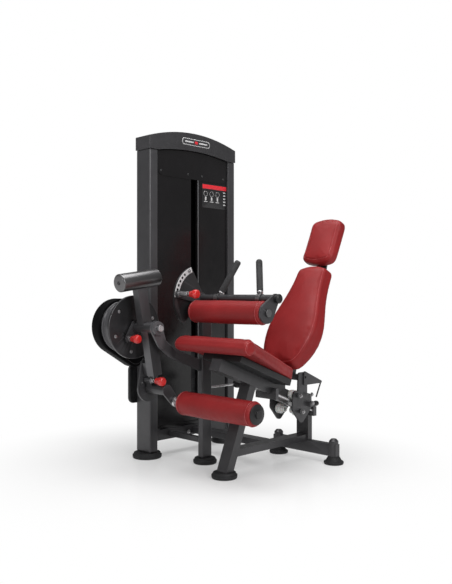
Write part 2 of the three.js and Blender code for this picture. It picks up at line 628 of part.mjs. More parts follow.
function guideRods() {
  const start = 152;
  const end = REAR.y1;
  for (const [i, x] of CARRIAGE.rodX.entries()) {
    const side = i === 0 ? 'right' : 'left';
    const length = (end - start) / Math.cos(rad(SEAT.pitch));
    const geometry = new THREE.CylinderGeometry(CARRIAGE.rodRadius, CARRIAGE.rodRadius, length, 16);
    geometry.rotateX(-rad(SEAT.pitch));
    geometry.translate(x, (start + end) / 2, railZ((start + end) / 2));
    add(`seat_guide_rod_${side}`, geometry, 'steel');
  }
}

const wheelBolts = [
  { y: 270, lift: 1 },
  { y: 288, lift: -1 },
];

function wheelCentre({ y, lift }) {
  const clear = (CARRIAGE.rodRadius + CARRIAGE.wheel + RUN) / Math.cos(rad(SEAT.pitch));
  return { y, z: railZ(y) + lift * clear };
}

function carriage() {
  const { plates, thick, wheel } = CARRIAGE;
  const body = roundedPolygon([[258, 262], [300, 214], [352, 262], [352, 300], [262, 320]], 22);
  const tongue = roundedPolygon([[286, 300], [330, 300], [330, 412], [290, 412]], 12);
  for (const [i, x] of plates.entries()) {
    const side = i === 0 ? 'right' : 'left';
    const inward = i === 0 ? 1 : -1;
    const middle = x + thick / 2;
    const along = (from, to) => [from, to].map((d) => middle + inward * d).sort((a, b) => a - b);
    const pieces = [slab(body, x, x + thick, 6), slab(tongue, x, x + thick, 4)];
    if (i === 1) {
      pieces.push(box(x + thick - 1, LATCH.x + 10, 340, 376, LATCH.z - 10, LATCH.z + 10));
    }
    for (const [n, bolt] of wheelBolts.entries()) {
      const c = wheelCentre(bolt);
      pieces.push(rod(...along(0, thick / 2 + 26), c.y, c.z, 7, 12));
      pieces.push(rod(...along(-thick / 2 - 8, 0), c.y, c.z, 11, 6));
      const wheelX = along(thick / 2 + 1, thick / 2 + 25);
      const level = n === 0 ? 'upper' : 'lower';
      add(`${level}_wheel_${side}`,
        cut(rod(...wheelX, c.y, c.z, wheel, 20), rod(0, 500, c.y, c.z, 7 + RUN, 12)), 'nylon');
    }
    const latchBore = new THREE.CylinderGeometry(LATCH.pin + RUN, LATCH.pin + RUN, 200, 16);
    latchBore.translate(LATCH.x, 345 + 100, LATCH.z);
    add(`carriage_plate_${side}`, cut(join(...pieces), latchBore), 'frame');
  }
}

// A point in the backrest's own plane: distance up the pad from its foot, and distance behind its face.
function backPoint(along, behind, lean = BACK.lean, from = BACK.foot) {
  const a = rad(lean);
  return [from[0] + along * Math.sin(a) + behind * Math.cos(a), from[1] + along * Math.cos(a) - behind * Math.sin(a)];
}

function pad(shape, thick, lean, from, x) {
  const geometry = new THREE.ExtrudeGeometry(shape, { depth: thick, bevelEnabled: false, curveSegments: 8 });
  geometry.translate(0, 0, -thick);
  geometry.rotateX(Math.PI / 2 - rad(lean));
  geometry.translate(x, from[0], from[1]);
  return geometry;
}

function backrest() {
  const shape = new THREE.Shape();
  const { length } = BACK;
  shape.moveTo(-80, 0);
  shape.quadraticCurveTo(0, -14, 80, 0);
  shape.bezierCurveTo(118, 22, 150, 126, 140, 212);
  shape.bezierCurveTo(130, 284, 96, 350, 86, length - 40);
  shape.quadraticCurveTo(84, length, 62, length);
  shape.lineTo(-62, length);
  shape.quadraticCurveTo(-84, length, -86, length - 40);
  shape.bezierCurveTo(-96, 350, -130, 284, -140, 212);
  shape.bezierCurveTo(-150, 126, -118, 22, -80, 0);
  add('backrest_cushion', pad(shape, BACK.thick, BACK.lean, BACK.foot, BACK.x), 'red');

  const half = HEAD.width / 2;
  const head = roundedRect(-half, half, 0, HEAD.length, 26);
  add('headrest_cushion', pad(head, HEAD.thick, HEAD.lean, HEAD.foot, BACK.x), 'red');

  const behind = BACK.thick + GAP;
  const root = bar(BACK.x, 50, 26, backPoint(-9, 119), backPoint(110, behind + 17));
  const post = bar(BACK.x, 50, 26, backPoint(100, behind + 17), backPoint(360, behind + 17));
  const mountPlate = bar(BACK.x, 110, 6, backPoint(170, behind + 3), backPoint(350, behind + 3));
  const cross = box(CARRIAGE.plates[0] + CARRIAGE.thick + GAP, CARRIAGE.plates[1] - GAP, 284, 312, 388, 414);
  const headBack = (along) => backPoint(along, HEAD.thick + GAP + 4, HEAD.lean, HEAD.foot);
  const stem = [backPoint(330, behind + 7), backPoint(528, behind + 7), headBack(60), headBack(150)];
  const stems = stem.slice(1).map((end, i) => bar(BACK.x, 60, 8, stem[i], end));
  add('back_post', join(root, post, mountPlate, cross, ...stems), 'frame');
}

guideRods();
carriage();
backrest();

// ---------------------------------------------------------------- backrest release
function release() {
  const x0 = CARRIAGE.plates[1] + CARRIAGE.thick + 1;
  const pivot = { y: 320, z: 400 };
  const leverShape = roundedPolygon([[316, 370], [438, 370], [318, 422]], 6);
  const rodEnd = 300;
  const pull = bar(x0 + 3, 5, 5, [440, 370], [404, rodEnd]);
  const lever = join(slab(leverShape, x0, x0 + 6, 4), pull);
  add('release_lever', cut(lever, rod(x0 - 5, x0 + 10, pivot.y, pivot.z, 6, 16)), 'frame');

  const length = 56;
  const latch = new THREE.LatheGeometry([
    [0, 0], [LATCH.pin, 0], [LATCH.pin, 34], [11, 34], [13, 46], [11, length], [0, length], [0, 0],
  ].map(([r, h]) => new THREE.Vector2(r, h)), 16);
  latch.translate(LATCH.x, LATCH.y - length + 24, LATCH.z);
  add('latch_knob', latch, 'plastic');
}

release();

export default machine;
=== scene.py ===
"""Looks of a leg extension and seated leg curl machine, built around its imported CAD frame."""

import json
import math

import bmesh
import bpy
from mathutils import Matrix, Vector, noise
from mathutils.bvhtree import BVHTree


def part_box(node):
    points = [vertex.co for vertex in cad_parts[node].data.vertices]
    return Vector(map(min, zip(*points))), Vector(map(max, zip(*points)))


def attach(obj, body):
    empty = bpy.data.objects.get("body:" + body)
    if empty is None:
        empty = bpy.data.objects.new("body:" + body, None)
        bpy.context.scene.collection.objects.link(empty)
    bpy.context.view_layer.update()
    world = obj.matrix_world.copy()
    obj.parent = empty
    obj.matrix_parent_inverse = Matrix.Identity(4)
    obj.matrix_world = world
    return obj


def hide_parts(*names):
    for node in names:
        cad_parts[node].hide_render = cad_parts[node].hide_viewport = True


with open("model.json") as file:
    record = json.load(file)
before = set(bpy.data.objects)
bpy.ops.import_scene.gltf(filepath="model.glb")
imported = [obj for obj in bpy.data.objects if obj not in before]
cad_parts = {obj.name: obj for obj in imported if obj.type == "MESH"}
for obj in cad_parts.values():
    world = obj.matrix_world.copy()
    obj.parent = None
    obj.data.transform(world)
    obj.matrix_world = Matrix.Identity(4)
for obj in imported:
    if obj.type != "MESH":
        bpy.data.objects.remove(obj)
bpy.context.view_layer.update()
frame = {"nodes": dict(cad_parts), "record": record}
MM = 0.001
TAU = 2 * math.pi
TIP = 0.01 * MM   # radius at which a turned shape closes on its axis

JOINTS = {j["name"]: j for j in frame["record"]["behaviour"]["joints"]}
BODY_OF = {n: b for b, ns in frame["record"]["behaviour"]["bodies"].items() for n in ns}
SLOT_OF = {s["node"]: s["material_slot"] for s in frame["record"]["subparts"]}
COLOUR = {m["slot"]: m["base_color"][:3] for m in frame["record"]["materials"]}


# ---------------------------------------------------------------- materials
class Nodes:
    """A small helper that builds one material's node tree."""

    def __init__(self, name):
        self.material = bpy.data.materials.new(name)
        self.material.use_nodes = True
        self.tree = self.material.node_tree
        self.tree.nodes.clear()
        self.out = self.add("ShaderNodeOutputMaterial")
        self.shader = self.add("ShaderNodeBsdfPrincipled")
        self.tree.links.new(self.shader.outputs[0], self.out.inputs[0])
        self.place = self.add("ShaderNodeTexCoord").outputs["Object"]

    def add(self, kind, **values):
        node = self.tree.nodes.new(kind)
        for key, value in values.items():
            setattr(node, key, value)
        return node

    def link(self, source, target):
        self.tree.links.new(source, target)

    def set(self, **values):
        for key, value in values.items():
            self.shader.inputs[key.replace("_", " ")].default_value = value

    def noise(self, scale, detail, stretch=None):
        source = self.place
        if stretch:
            mapping = self.add("ShaderNodeMapping")
            mapping.inputs["Scale"].default_value = stretch
            self.link(source, mapping.inputs["Vector"])
            source = mapping.outputs[0]
        node = self.add("ShaderNodeTexNoise")
        node.inputs["Scale"].default_value = scale
        node.inputs["Detail"].default_value = detail
        self.link(source, node.inputs["Vector"])
        return node.outputs["Fac"]

    def cells(self, scale):
        node = self.add("ShaderNodeTexVoronoi", feature="SMOOTH_F1")
        node.inputs["Scale"].default_value = scale
        node.inputs["Smoothness"].default_value = 0.4
        self.link(self.place, node.inputs["Vector"])
        return node.outputs["Distance"]

    def spread(self, source, low, high, start=0.3, end=0.7):
        node = self.add("ShaderNodeMapRange")
        for key, value in (("From Min", start), ("From Max", end), ("To Min", low), ("To Max", high)):
            node.inputs[key].default_value = value
        self.link(source, node.inputs["Value"])
        return node.outputs[0]

    def tint(self, source, low, high):
        node = self.add("ShaderNodeMix", data_type="RGBA")
        node.inputs["A"].default_value = (*low, 1)
        node.inputs["B"].default_value = (*high, 1)
        self.link(source, node.inputs["Factor"])
        self.link(node.outputs["Result"], self.shader.inputs["Base Color"])
        return node

    def mottle(self, noise, colour, low, high):
        """Base colour that drifts between two shades of one colour."""
        return self.tint(self.spread(noise, 0, 1), scaled(colour, low), scaled(colour, high))

    def roughen(self, noise, low, high):
        self.link(self.spread(noise, low, high), self.shader.inputs["Roughness"])

    def bump(self, *layers):
        """Each layer is (height source, strength, distance in metres)."""
        last = None
        for height, strength, distance in layers:
            node = self.add("ShaderNodeBump")
            node.inputs["Strength"].default_value = strength
            node.inputs["Distance"].default_value = distance
            self.link(height, node.inputs["Height"])
            if last:
                self.link(last, node.inputs["Normal"])
            last = node.outputs[0]
        self.link(last, self.shader.inputs["Normal"])


def scaled(colour, k):
    return tuple(min(1.0, c * k) for c in colour)


def worn_edges(n, amount):
    """A factor near 1 on convex edges, where coating rubs thin."""
    geometry = n.add("ShaderNodeNewGeometry")
    return n.spread(geometry.outputs["Pointiness"], 0.0, amount, 0.52, 0.62)


def powder_coat(name="frame_paint", tone=1.0):
    n = Nodes(name)
    base = scaled(COLOUR["frame_paint"], tone)
    mix = n.mottle(n.noise(6, 4), base, 0.68, 0.9)
    edge = n.add("ShaderNodeMix", data_type="RGBA")
    n.link(worn_edges(n, 0.5), edge.inputs["Factor"])
    n.link(mix.outputs["Result"], edge.inputs["A"])
    edge.inputs["B"].default_value = (*scaled(base, 2.6), 1)
    n.link(edge.outputs["Result"], n.shader.inputs["Base Color"])
    n.roughen(n.noise(40, 5), 0.3, 0.42)
    n.set(Metallic=0.3, Specular_IOR_Level=0.5, Coat_Weight=0.1, Coat_Roughness=0.25)
    n.bump((n.noise(900, 2), 0.12, 0.0004), (n.cells(420), 0.06, 0.0005))
    return n.material


def gloss_panel():
    n = Nodes("shroud_gloss")
    n.mottle(n.noise(3, 3), COLOUR["shroud_gloss"], 0.42, 0.62)
    n.roughen(n.noise(25, 6), 0.14, 0.24)
    n.set(Specular_IOR_Level=0.34)
    n.bump((n.noise(14, 2), 0.02, 0.002))
    return n.material


def leather():
    n = Nodes("upholstery_red")
    red, green, blue = COLOUR["upholstery_red"]
    n.mottle(n.noise(9, 5), (red, green * 0.55, blue * 0.55), 0.66, 0.82)
    n.roughen(n.noise(60, 4), 0.42, 0.56)
    n.set(Specular_IOR_Level=0.22)
    n.bump(
        (n.cells(520), 0.3, 0.0006),
        (n.noise(1400, 3), 0.15, 0.0003),
        (n.noise(22, 3), 0.12, 0.003),
    )
    return n.material


def piping():
    n = Nodes("upholstery_piping_painted_highlight")
    # Painted highlight: the piping takes the leather red at 1.0 to 1.35 times its brightness, a light line
    # along the pad edges.
    n.mottle(n.noise(120, 3), COLOUR["upholstery_red"], 1.0, 1.35)
    n.set(Roughness=0.36, Specular_IOR_Level=0.6)
    n.bump((n.noise(900, 2), 0.3, 0.0003))
    return n.material


def thread():
    n = Nodes("upholstery_thread")
    n.mottle(n.noise(500, 2), COLOUR["upholstery_red"], 0.56, 0.84)
    n.set(Roughness=0.75)
    n.bump((n.noise(2500, 2), 0.4, 0.0002))
    return n.material


def knob_red():
    n = Nodes("knob_red")
    red, green, blue = COLOUR["knob_red"]
    n.mottle(n.noise(30, 3), (red, green * 0.4, blue * 0.5), 0.616, 0.77)
    n.roughen(n.noise(160, 3), 0.3, 0.4)
    n.set(Coat_Weight=0.2, Coat_Roughness=0.25)
    n.bump((n.noise(500, 2), 0.08, 0.0004))
    return n.material


def steel(name="bright_steel", tone=1.0, rough=(0.2, 0.36)):
    n = Nodes(name)
    n.mottle(n.noise(30, 4, stretch=(1, 14, 14)), COLOUR["bright_steel"], 0.88 * tone, 1.12 * tone)
    n.roughen(n.noise(70, 5, stretch=(1, 22, 22)), *rough)
    n.set(Metallic=1.0)
    n.bump((n.noise(60, 3, stretch=(1, 40, 40)), 0.08, 0.0003))
    return n.material


def black_plastic():
    n = Nodes("black_plastic")
    n.mottle(n.noise(12, 3), COLOUR["black_plastic"], 0.45, 0.9)
    n.roughen(n.noise(60, 4), 0.3, 0.42)
    n.set(Specular_IOR_Level=0.36)
    n.bump((n.cells(700), 0.18, 0.0004))
    return n.material


def rubber(name, grain, strength):
    n = Nodes(name)
    n.mottle(n.noise(18, 4), COLOUR[name], 0.75, 1.6)
    n.roughen(n.noise(90, 4), 0.62, 0.8)
    n.set(Specular_IOR_Level=0.35)
    n.bump((n.noise(grain, 3), strength, 0.0006))
    return n.material


def nylon():
    n = Nodes("wheel_nylon")
    n.mottle(n.noise(20, 4), COLOUR["wheel_nylon"], 0.86, 1.05)
    n.roughen(n.noise(80, 4), 0.35, 0.5)
    n.set(Subsurface_Weight=0.08, Subsurface_Scale=0.004)
    n.bump((n.noise(80, 2, stretch=(30, 1, 1)), 0.06, 0.0004))
    return n.material


def cast_iron():
    n = Nodes("stack_iron")
    n.mottle(n.noise(16, 5), COLOUR["stack_iron"], 0.7, 1.4)
    n.roughen(n.noise(60, 4), 0.5, 0.66)
    n.set(Metallic=0.5)
    n.bump((n.noise(260, 5), 0.3, 0.0006))
    return n.material


def printed(name, colour, rough=0.4, shine=0.5):
    """Smooth paint or print of one colour."""
    n = Nodes(name)
    n.mottle(n.noise(60, 3), colour, 0.9, 1.08)
    n.roughen(n.noise(120, 3), rough - 0.05, rough + 0.05)
    n.set(Specular_IOR_Level=shine)
    n.bump((n.noise(600, 2), 0.05, 0.0002))
    return n.material


LOOK = {
    "frame_paint": powder_coat(),
    "shroud_gloss": gloss_panel(),
    "upholstery_red": leather(),
    "knob_red": knob_red(),
    "bright_steel": steel(),
    "black_plastic": black_plastic(),
    "foot_rubber": rubber("foot_rubber", 500, 0.25),
    "grip_rubber": rubber("grip_rubber", 900, 0.5),
    "wheel_nylon": nylon(),
    "stack_iron": cast_iron(),
}
BOLT_STEEL = steel("bolt_steel", 0.6, (0.28, 0.42))
DARK_STEEL = steel("dark_steel", 0.3, (0.3, 0.44))
SATIN = printed("satin_silver", (0.46, 0.45, 0.455), 0.32)
DARK_DISC = powder_coat("disc_black", 0.5)
HOUSING = printed("housing_black", (0.004, 0.004, 0.0045), 0.5, 0.03)
OWN_LOOK = {
    "lock_hole_strip": SATIN, "start_position_disc": DARK_DISC, "thigh_lock_plate": DARK_DISC,
    "cam_drum": powder_coat("drum_grey", 1.9), "grip_left_post": DARK_STEEL, "grip_right_post": DARK_STEEL,
    "thigh_axle": DARK_STEEL,
}
DARK_BOLT = powder_coat("bolt_black", 0.7)
PIPING_PAINTED_HIGHLIGHT = piping()
THREAD = thread()


# ---------------------------------------------------------------- mesh helpers
REPLACED = set()   # CAD nodes that a piece made here stands for


def placed(name, data):
    """A new object in the scene."""
    obj = bpy.data.objects.new(name, data)
    bpy.context.scene.collection.objects.link(obj)
    return obj


def written(name, bm):
    """A new mesh made from a shape under construction."""
    mesh = bpy.data.meshes.new(name)
    bm.to_mesh(mesh)
    bm.free()
    return mesh


def piece(name, mesh, body, material, slot=None):
    """One visible piece that rides a body. Its slot argument is not used."""
    obj = placed(name, mesh)
    obj.data.materials.append(material)
    slot = slot or material.name
    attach(obj, body)
    return obj


def stand_in(obj, node):
    """Lets a piece stand for a CAD node, which is then hidden. The piece argument is not used."""
    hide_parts(node)
    REPLACED.add(node)


def turned(name, profile, centre, axis, sides, body, material, slot=None):
    return piece(name, lathe(name, profile, centre, axis, sides), body, material, slot)


def cut(name, outline, depth, place, bevel, segments, body, material, slot=None):
    return piece(name, prism(name, outline, depth, place, bevel, segments), body, material, slot)


def loop(name, points, radius, body, material, slot=None, sides=8):
    """A round cord whose ends meet."""
    return piece(name, tube_mesh(name, points, radius, sides, True), body, material, slot)


def box_of(node):
    low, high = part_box(node)
    return low, high, (low + high) / 2


def mesh_from(name, rings, closed):
    """A mesh over rings of points, which runs round to its start if closed, or else has capped ends."""
    bm = bmesh.new()
    skin(bm, [[bm.verts.new(p) for p in ring] for ring in rings], closed)
    bmesh.ops.remove_doubles(bm, verts=bm.verts, dist=1e-6)
    return finished(name, bm)


def finished(name, bm):
    """A mesh shaded smooth with its sharp edges kept."""
    bmesh.ops.recalc_face_normals(bm, faces=bm.faces)
    mesh = written(name, bm)
    mesh.shade_smooth()
    mesh.set_sharp_from_angle(angle=math.radians(40))
    return mesh


def skin(bm, rings, closed=False):
    """Joins rings of vertices side by side."""
    for low, high in zip(rings, rings[1:] + rings[:1] if closed else rings[1:]):
        for i in range(len(low)):
            j = (i + 1) % len(low)
            bm.faces.new((low[i], low[j], high[j], high[i]))
    if not closed:
        bm.faces.new(rings[0][::-1])
        bm.faces.new(rings[-1])


def axes_for(axis):
    """The unit axis and two directions square to it."""
    axis = Vector(axis).normalized()
    side = Vector((0, 0, 1)) if abs(axis.z) < 0.9 else Vector((0, 1, 0))
    u = axis.cross(side).normalized()
    return axis, u, axis.cross(u)


def lathe(name, profile, centre, axis, sides):
    """Turns [distance along the axis, radius] points about the axis through centre."""
    axis, u, v = axes_for(axis)
    centre = Vector(centre)
    closed = profile[0] == profile[-1]
    rings = []
    for along, radius in profile[:-1] if closed else profile:
        middle = centre + axis * along
        rings.append([middle + u * a + v * b for a, b in circle(0, 0, radius, sides)])
    return mesh_from(name, rings, closed)


def rounded(corners, radius, steps):
    """A profile of [along, radius] corners whose middle corners are rounded."""
    points = [corners[0]]
    for before, here, after in zip(corners, corners[1:], corners[2:]):
        a, b, c = Vector(before), Vector(here), Vector(after)
        r = min(radius, (a - b).length * 0.45, (c - b).length * 0.45)
        start = b + (a - b).normalized() * r
        end = b + (c - b).normalized() * r
        for i in range(steps + 1):
            t = i / steps
            p = start * (1 - t) ** 2 + b * 2 * t * (1 - t) + end * t * t
            points.append((p.x, p.y))
    points.append(corners[-1])
    return points


def prism(name, outline, depth, place, bevel, segments):
    """A flat outline of (x, y) points, made solid along local z with rounded edges, placed by a matrix."""
    bm = bmesh.new()
    ring = [bm.verts.new((x, y, 0)) for x, y in outline]
    face = bm.faces.new(ring)
    result = bmesh.ops.extrude_face_region(bm, geom=[face])
    moved = [v for v in result["geom"] if isinstance(v, bmesh.types.BMVert)]
    bmesh.ops.translate(bm, verts=moved, vec=(0, 0, depth))
    bmesh.ops.recalc_face_normals(bm, faces=bm.faces)
    sharp = [e for e in bm.edges if e.calc_face_angle() > math.radians(50)]
    bmesh.ops.bevel(bm, geom=sharp, offset=bevel, segments=segments, profile=0.5, affect="EDGES")
    bmesh.ops.transform(bm, matrix=place, verts=bm.verts)
    return finished(name, bm)


def tube_mesh(name, path, radius, sides, closed):
    """A round cord through a list of points."""
    ahead = path[1:] + (path[:1] if closed else path[-1:])
    behind = (path[-1:] if closed else path[:1]) + path[:-1]
    rings = []
    for here, before, after in zip(path, behind, ahead):
        _, u, v = axes_for(after - before)
        rings.append([here + u * a + v * b for a, b in circle(0, 0, radius, sides)])
    return mesh_from(name, rings, closed)


def arc(cx, cy, r, start, end, steps):
    """Points round part of a circle, from one angle in degrees to another."""
    angles = [math.radians(start + (end - start) * i / steps) for i in range(steps + 1)]
    return [(cx + r * math.cos(a), cy + r * math.sin(a)) for a in angles]


def circle(cx, cy, r, count, start=0.0):
    """Evenly spaced points round a circle, anticlockwise."""
    angles = [TAU * i / count + start for i in range(count)]
    return [(cx + r * math.cos(a), cy + r * math.sin(a)) for a in angles]


def round_rect(w, h, r, steps, centre):
    cx, cy = centre
    x, y = w / 2 - r, h / 2 - r
    corners = ((x, -y, -90), (x, y, 0), (-x, y, 90), (-x, -y, 180))
    return [p for dx, dy, start in corners for p in arc(cx + dx, cy + dy, r, start, start + 90, steps)]


def matrix(origin, x_axis, y_axis):
    x = Vector(x_axis).normalized()
    y = Vector(y_axis).normalized()
    z = x.cross(y)
    m = Matrix((x, y, z)).transposed().to_4x4()
    m.translation = Vector(origin)
    return m


# ---------------------------------------------------------------- carried-over CAD nodes
BEVEL = {  # edge rounding in millimetres of the nodes that keep their CAD shape
    "tower_frame": 6, "top_cap": 5, "centre_post": 5, "seat_frame": 5, "link_beam": 4,
    "slotted_shroud": 2, "upper_trim_panel": 1, "seat_pan": 3, "swing_arm": 3, "cam_drum": 2,
    "start_position_disc": 1.5, "ankle_crank": 3, "knee_bearing_bracket": 2.5, "thigh_lock_plate": 1.5,
    "lock_hole_strip": 0.6, "thigh_bar": 2.5, "carriage_plate_left": 1.5, "carriage_plate_right": 1.5,
    "back_post": 3, "release_lever": 1, "resting_weight_plates": 2, "lifted_weight_plates": 2,
    "back_shroud": 1,
}


def dress_cad_nodes():
    """Gives each CAD node that stays visible its material and rounded edges."""
    for name, node in frame["nodes"].items():
        if name in REPLACED:
            continue
        node.data.materials.clear()
        node.data.materials.append(OWN_LOOK.get(name) or LOOK[SLOT_OF[name]])
        if node.data.has_custom_normals:
            bpy.context.view_layer.objects.active = node
            with bpy.context.temp_override(object=node, active_object=node):
                bpy.ops.mesh.customdata_custom_splitnormals_clear()
        node.data.shade_smooth()
        weld = node.modifiers.new("weld", "WELD")
        weld.merge_threshold = 0.02 * MM
        bevel = node.modifiers.new("bevel", "BEVEL")
        bevel.width = BEVEL.get(name, 1) * MM
        bevel.segments = 3
        bevel.limit_method = "ANGLE"
        bevel.angle_limit = math.radians(35)
        bevel.miter_outer = "MITER_ARC"
        flat = node.modifiers.new("normals", "WEIGHTED_NORMAL")
        flat.keep_sharp = True


# ---------------------------------------------------------------- soft pads
SEAT_PITCH = math.radians(21.5)
SEAT_EDGE_Y, SEAT_EDGE_Z = -0.205, 0.606
ROLL_Y, ROLL_Z, ROLL_RADIUS = -0.190, 0.5705, 0.035
BACK_LEAN = math.radians(31)
HEAD_LEAN = math.radians(25)
PAD_RAISE = 8 * MM   # how far both leaning pads sit up their own lean from the CAD box
SEAT_LOOK = {
    "shrink": 0.5 * MM, "voxel": 6 * MM, "pressure": 4, "cap": 5 * MM, "smooth": 6,
    "crown": 4 * MM, "ripple": 1.0 * MM, "cord": 1.3 * MM,
}
BACK_LOOK = dict(
    SEAT_LOOK, shrink=-3.5 * MM, front_round=17 * MM, back_round=3 * MM, crown=9 * MM,
    seam_at=11 * MM, seam_depth=1.8 * MM, seam_width=2.2 * MM,
    belly=18 * MM, belly_at=130 * MM, belly_reach=130 * MM,
)
HEAD_LOOK = dict(
    BACK_LOOK, shrink=-8 * MM, front_round=15 * MM, crown=7 * MM, voxel=5 * MM, smooth=8, cap=3 * MM,
    seam_at=10 * MM, seam_depth=1.6 * MM, belly=0,
)


def inside_distance(point, outline):
    """Distance from a point inside the outline to its nearest edge."""
    x, y = point
    best = 1e9
    for (ax, ay), (bx, by) in zip(outline, outline[1:] + outline[:1]):
        dx, dy = bx - ax, by - ay
        along = ((x - ax) * dx + (y - ay) * dy) / (dx * dx + dy * dy + 1e-18)
        along = max(0, min(1, along))
        best = min(best, math.hypot(x - ax - along * dx, y - ay - along * dy))
    return best


def resample(outline, step):
    """The closed outline with its points evenly spaced."""
    count = len(outline)
    lengths = [math.dist(outline[i], outline[(i + 1) % count]) for i in range(count)]
    total = sum(lengths)
    parts = max(12, round(total / step))
    points = []
    i, walked = 0, 0.0
    for k in range(parts):
        target = total * k / parts
        while walked + lengths[i] < target:
            walked += lengths[i]
            i += 1
        t = (target - walked) / lengths[i]
        a, b = outline[i], outline[(i + 1) % count]
        points.append((a[0] + (b[0] - a[0]) * t, a[1] + (b[1] - a[1]) * t))
    return points


def inset(outline, amount):
    """The outline moved inwards, point by point, along its own normals."""
    count = len(outline)
    moved = []
    for i, (x, y) in enumerate(outline):
        ax, ay = outline[i - 1]
        bx, by = outline[(i + 1) % count]
        length = math.hypot(bx - ax, by - ay)
        moved.append((x - (by - ay) / length * amount, y + (bx - ax) / length * amount))
    return moved


def puff(obj, pressure, cap, pinned_below):
    """Swells a closed pad as cloth, holding its board side, and caps how far a point may move."""
    frames = 20
    rest = [v.co.copy() for v in obj.data.vertices]
    group = obj.vertex_groups.new(name="board")
    group.add([v.index for v in obj.data.vertices if v.co.z < pinned_below], 1.0, "REPLACE")
    cloth = obj.modifiers.new("cloth", "CLOTH")
    s = cloth.settings
    s.quality = 5
    s.mass = 0.4
    s.tension_stiffness = 12
    s.compression_stiffness = 12
    s.shear_stiffness = 6
    s.bending_stiffness = 1.2
    s.use_pressure = True
    s.uniform_pressure_force = pressure
    s.effector_weights.gravity = 0
    s.vertex_group_mass = "board"
    cloth.collision_settings.use_self_collision = False
    cloth.point_cache.frame_start = 1
    cloth.point_cache.frame_end = frames
    scene = bpy.context.scene
    for f in range(1, frames + 1):
        scene.frame_set(f)
    shaped = obj.evaluated_get(bpy.context.evaluated_depsgraph_get()).to_mesh()
    moved = [v.co.copy() for v in shaped.vertices]
    obj.modifiers.remove(cloth)
    for v, a, b in zip(obj.data.vertices, rest, moved):
        step = b - a
        if step.length > cap:
            step *= cap / step.length
        v.co = a + step
    scene.frame_set(1)


def soften(name, bm, board, look):
    """Turns rough solids into one soft pad: fused, swollen as cloth, smoothed and subdivided."""
    obj = placed(name, written(name, bm))
    remesh = obj.modifiers.new("remesh", "REMESH")
    remesh.mode = "VOXEL"
    remesh.voxel_size = look["voxel"]
    bake(obj)
    puff(obj, look["pressure"], look["cap"], board)
    smooth = obj.modifiers.new("smooth", "SMOOTH")
    smooth.factor = 0.5
    smooth.iterations = look["smooth"]
    fine = obj.modifiers.new("fine", "SUBSURF")
    fine.levels = 1
    fine.render_levels = 1
    bake(obj)
    return obj


def surface_of(obj):
    points = [v.co for v in obj.data.vertices]
    return BVHTree.FromPolygons(points, [p.vertices for p in obj.data.polygons])


def drop(surface, point):
    """The highest point of a surface at (x, y), or None."""
    return surface.ray_cast(Vector((*point, 0.2)), Vector((0, 0, -1)))[0]


def hand_over(obj, node, body, place):
    """Moves a finished pad from its own frame into the machine and lets it stand for its CAD node."""
    obj.data.transform(place)
    obj.data.shade_smooth()
    obj.data.materials.clear()
    obj.data.materials.append(LOOK["upholstery_red"])
    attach(obj, body)
    stand_in(obj, node)


def cord(name, path, place, body, radius, closed=False):
    """Piping that lies on a pad, drawn in the pad's own frame."""
    points = [place @ p for p in path]
    piece(name, tube_mesh(name, points, radius, 8, closed), body, PIPING_PAINTED_HIGHLIGHT, "upholstery_red")


def pad(name, node, body, outline, thick, place, look):
    """A stitched cushion: local x, y lie in the face, local z points out of it, and 0 is the face."""
    edge = resample(outline, 7 * MM)
    start = inset(edge, look["shrink"])
    count = len(start)
    front_round, back_round = look["front_round"], look["back_round"]
    levels = [(-thick, back_round), (-thick + back_round, 0)]
    steps = 5
    for i in range(steps + 1):
        a = math.pi / 2 * i / steps
        levels.append((-front_round * (1 - math.sin(a)), front_round * (1 - math.cos(a))))
    bm = bmesh.new()
    rings = []
    for z, pull in levels:
        rings.append([bm.verts.new((x, y, z)) for x, y in inset(start, pull)])
    skin(bm, rings)
    bmesh.ops.triangulate(bm, faces=[f for f in bm.faces if len(f.verts) > 4])
    bmesh.ops.recalc_face_normals(bm, faces=bm.faces)
    obj = soften(name, bm, -thick + 6 * MM, look)

    size = max(inside_distance((0, sum(p[1] for p in edge) / count), edge), 1e-3)
    for v in obj.data.vertices:
        front = max(0.0, min(1.0, (v.co.z + thick) / thick))
        d = inside_distance(v.co.xy, edge)
        swell = look["crown"] * (1 - (1 - min(1, d / size)) ** 2) * front
        ripple = noise.noise(Vector((v.co.x, v.co.y, 0)) * 14) * look["ripple"] * front
        low_down = math.exp(-((v.co.y - look["belly_at"]) / look["belly_reach"]) ** 2)
        belly = look["belly"] * (1 - front) * low_down
        groove = 0.0
        if v.co.z > -front_round:
            groove = look["seam_depth"] * math.exp(-((d - look["seam_at"]) / look["seam_width"]) ** 2)
        v.co.z += swell + ripple - belly - groove
    surface = surface_of(obj)
    lift = Vector((0, 0, look["cord"] * 0.2))
    hits = [drop(surface, p) for p in resample(inset(edge, look["seam_at"]), 5 * MM)]
    cord(f"{name}_piping_0", [h + lift for h in hits if h], place, body, look["cord"], True)
    stitches = resample(inset(edge, look["seam_at"] + 5 * MM), 3.4 * MM)
    stitch_row(f"{name}_stitches_0", surface, stitches, place, body)
    hand_over(obj, node, body, place)


def stitch_row(name, surface, points, place, body):
    """Short raised stitches lying on the surface, every other step of the line."""
    bm = bmesh.new()
    up = Vector((0, 0, 0.5 * MM))
    for a, b in zip(points[::2], points[1::2]):
        start, end = drop(surface, a), drop(surface, b)
        if not start or not end or (end - start).length > 8 * MM:
            continue
        side = (end - start).normalized().cross(Vector((0, 0, 1))).normalized() * 0.45 * MM
        rings = []
        for p, k in ((start, 0.3), (start.lerp(end, 0.5), 1.0), (end, 0.3)):
            rings.append([bm.verts.new(p + off * k) for off in (side, up, -side, -up)])
        skin(bm, rings)
    bmesh.ops.recalc_face_normals(bm, faces=bm.faces)
    bmesh.ops.transform(bm, matrix=place, verts=bm.verts)
    mesh = written(name, bm)
    mesh.shade_smooth()
    piece(name, mesh, body, THREAD, "upholstery_red")


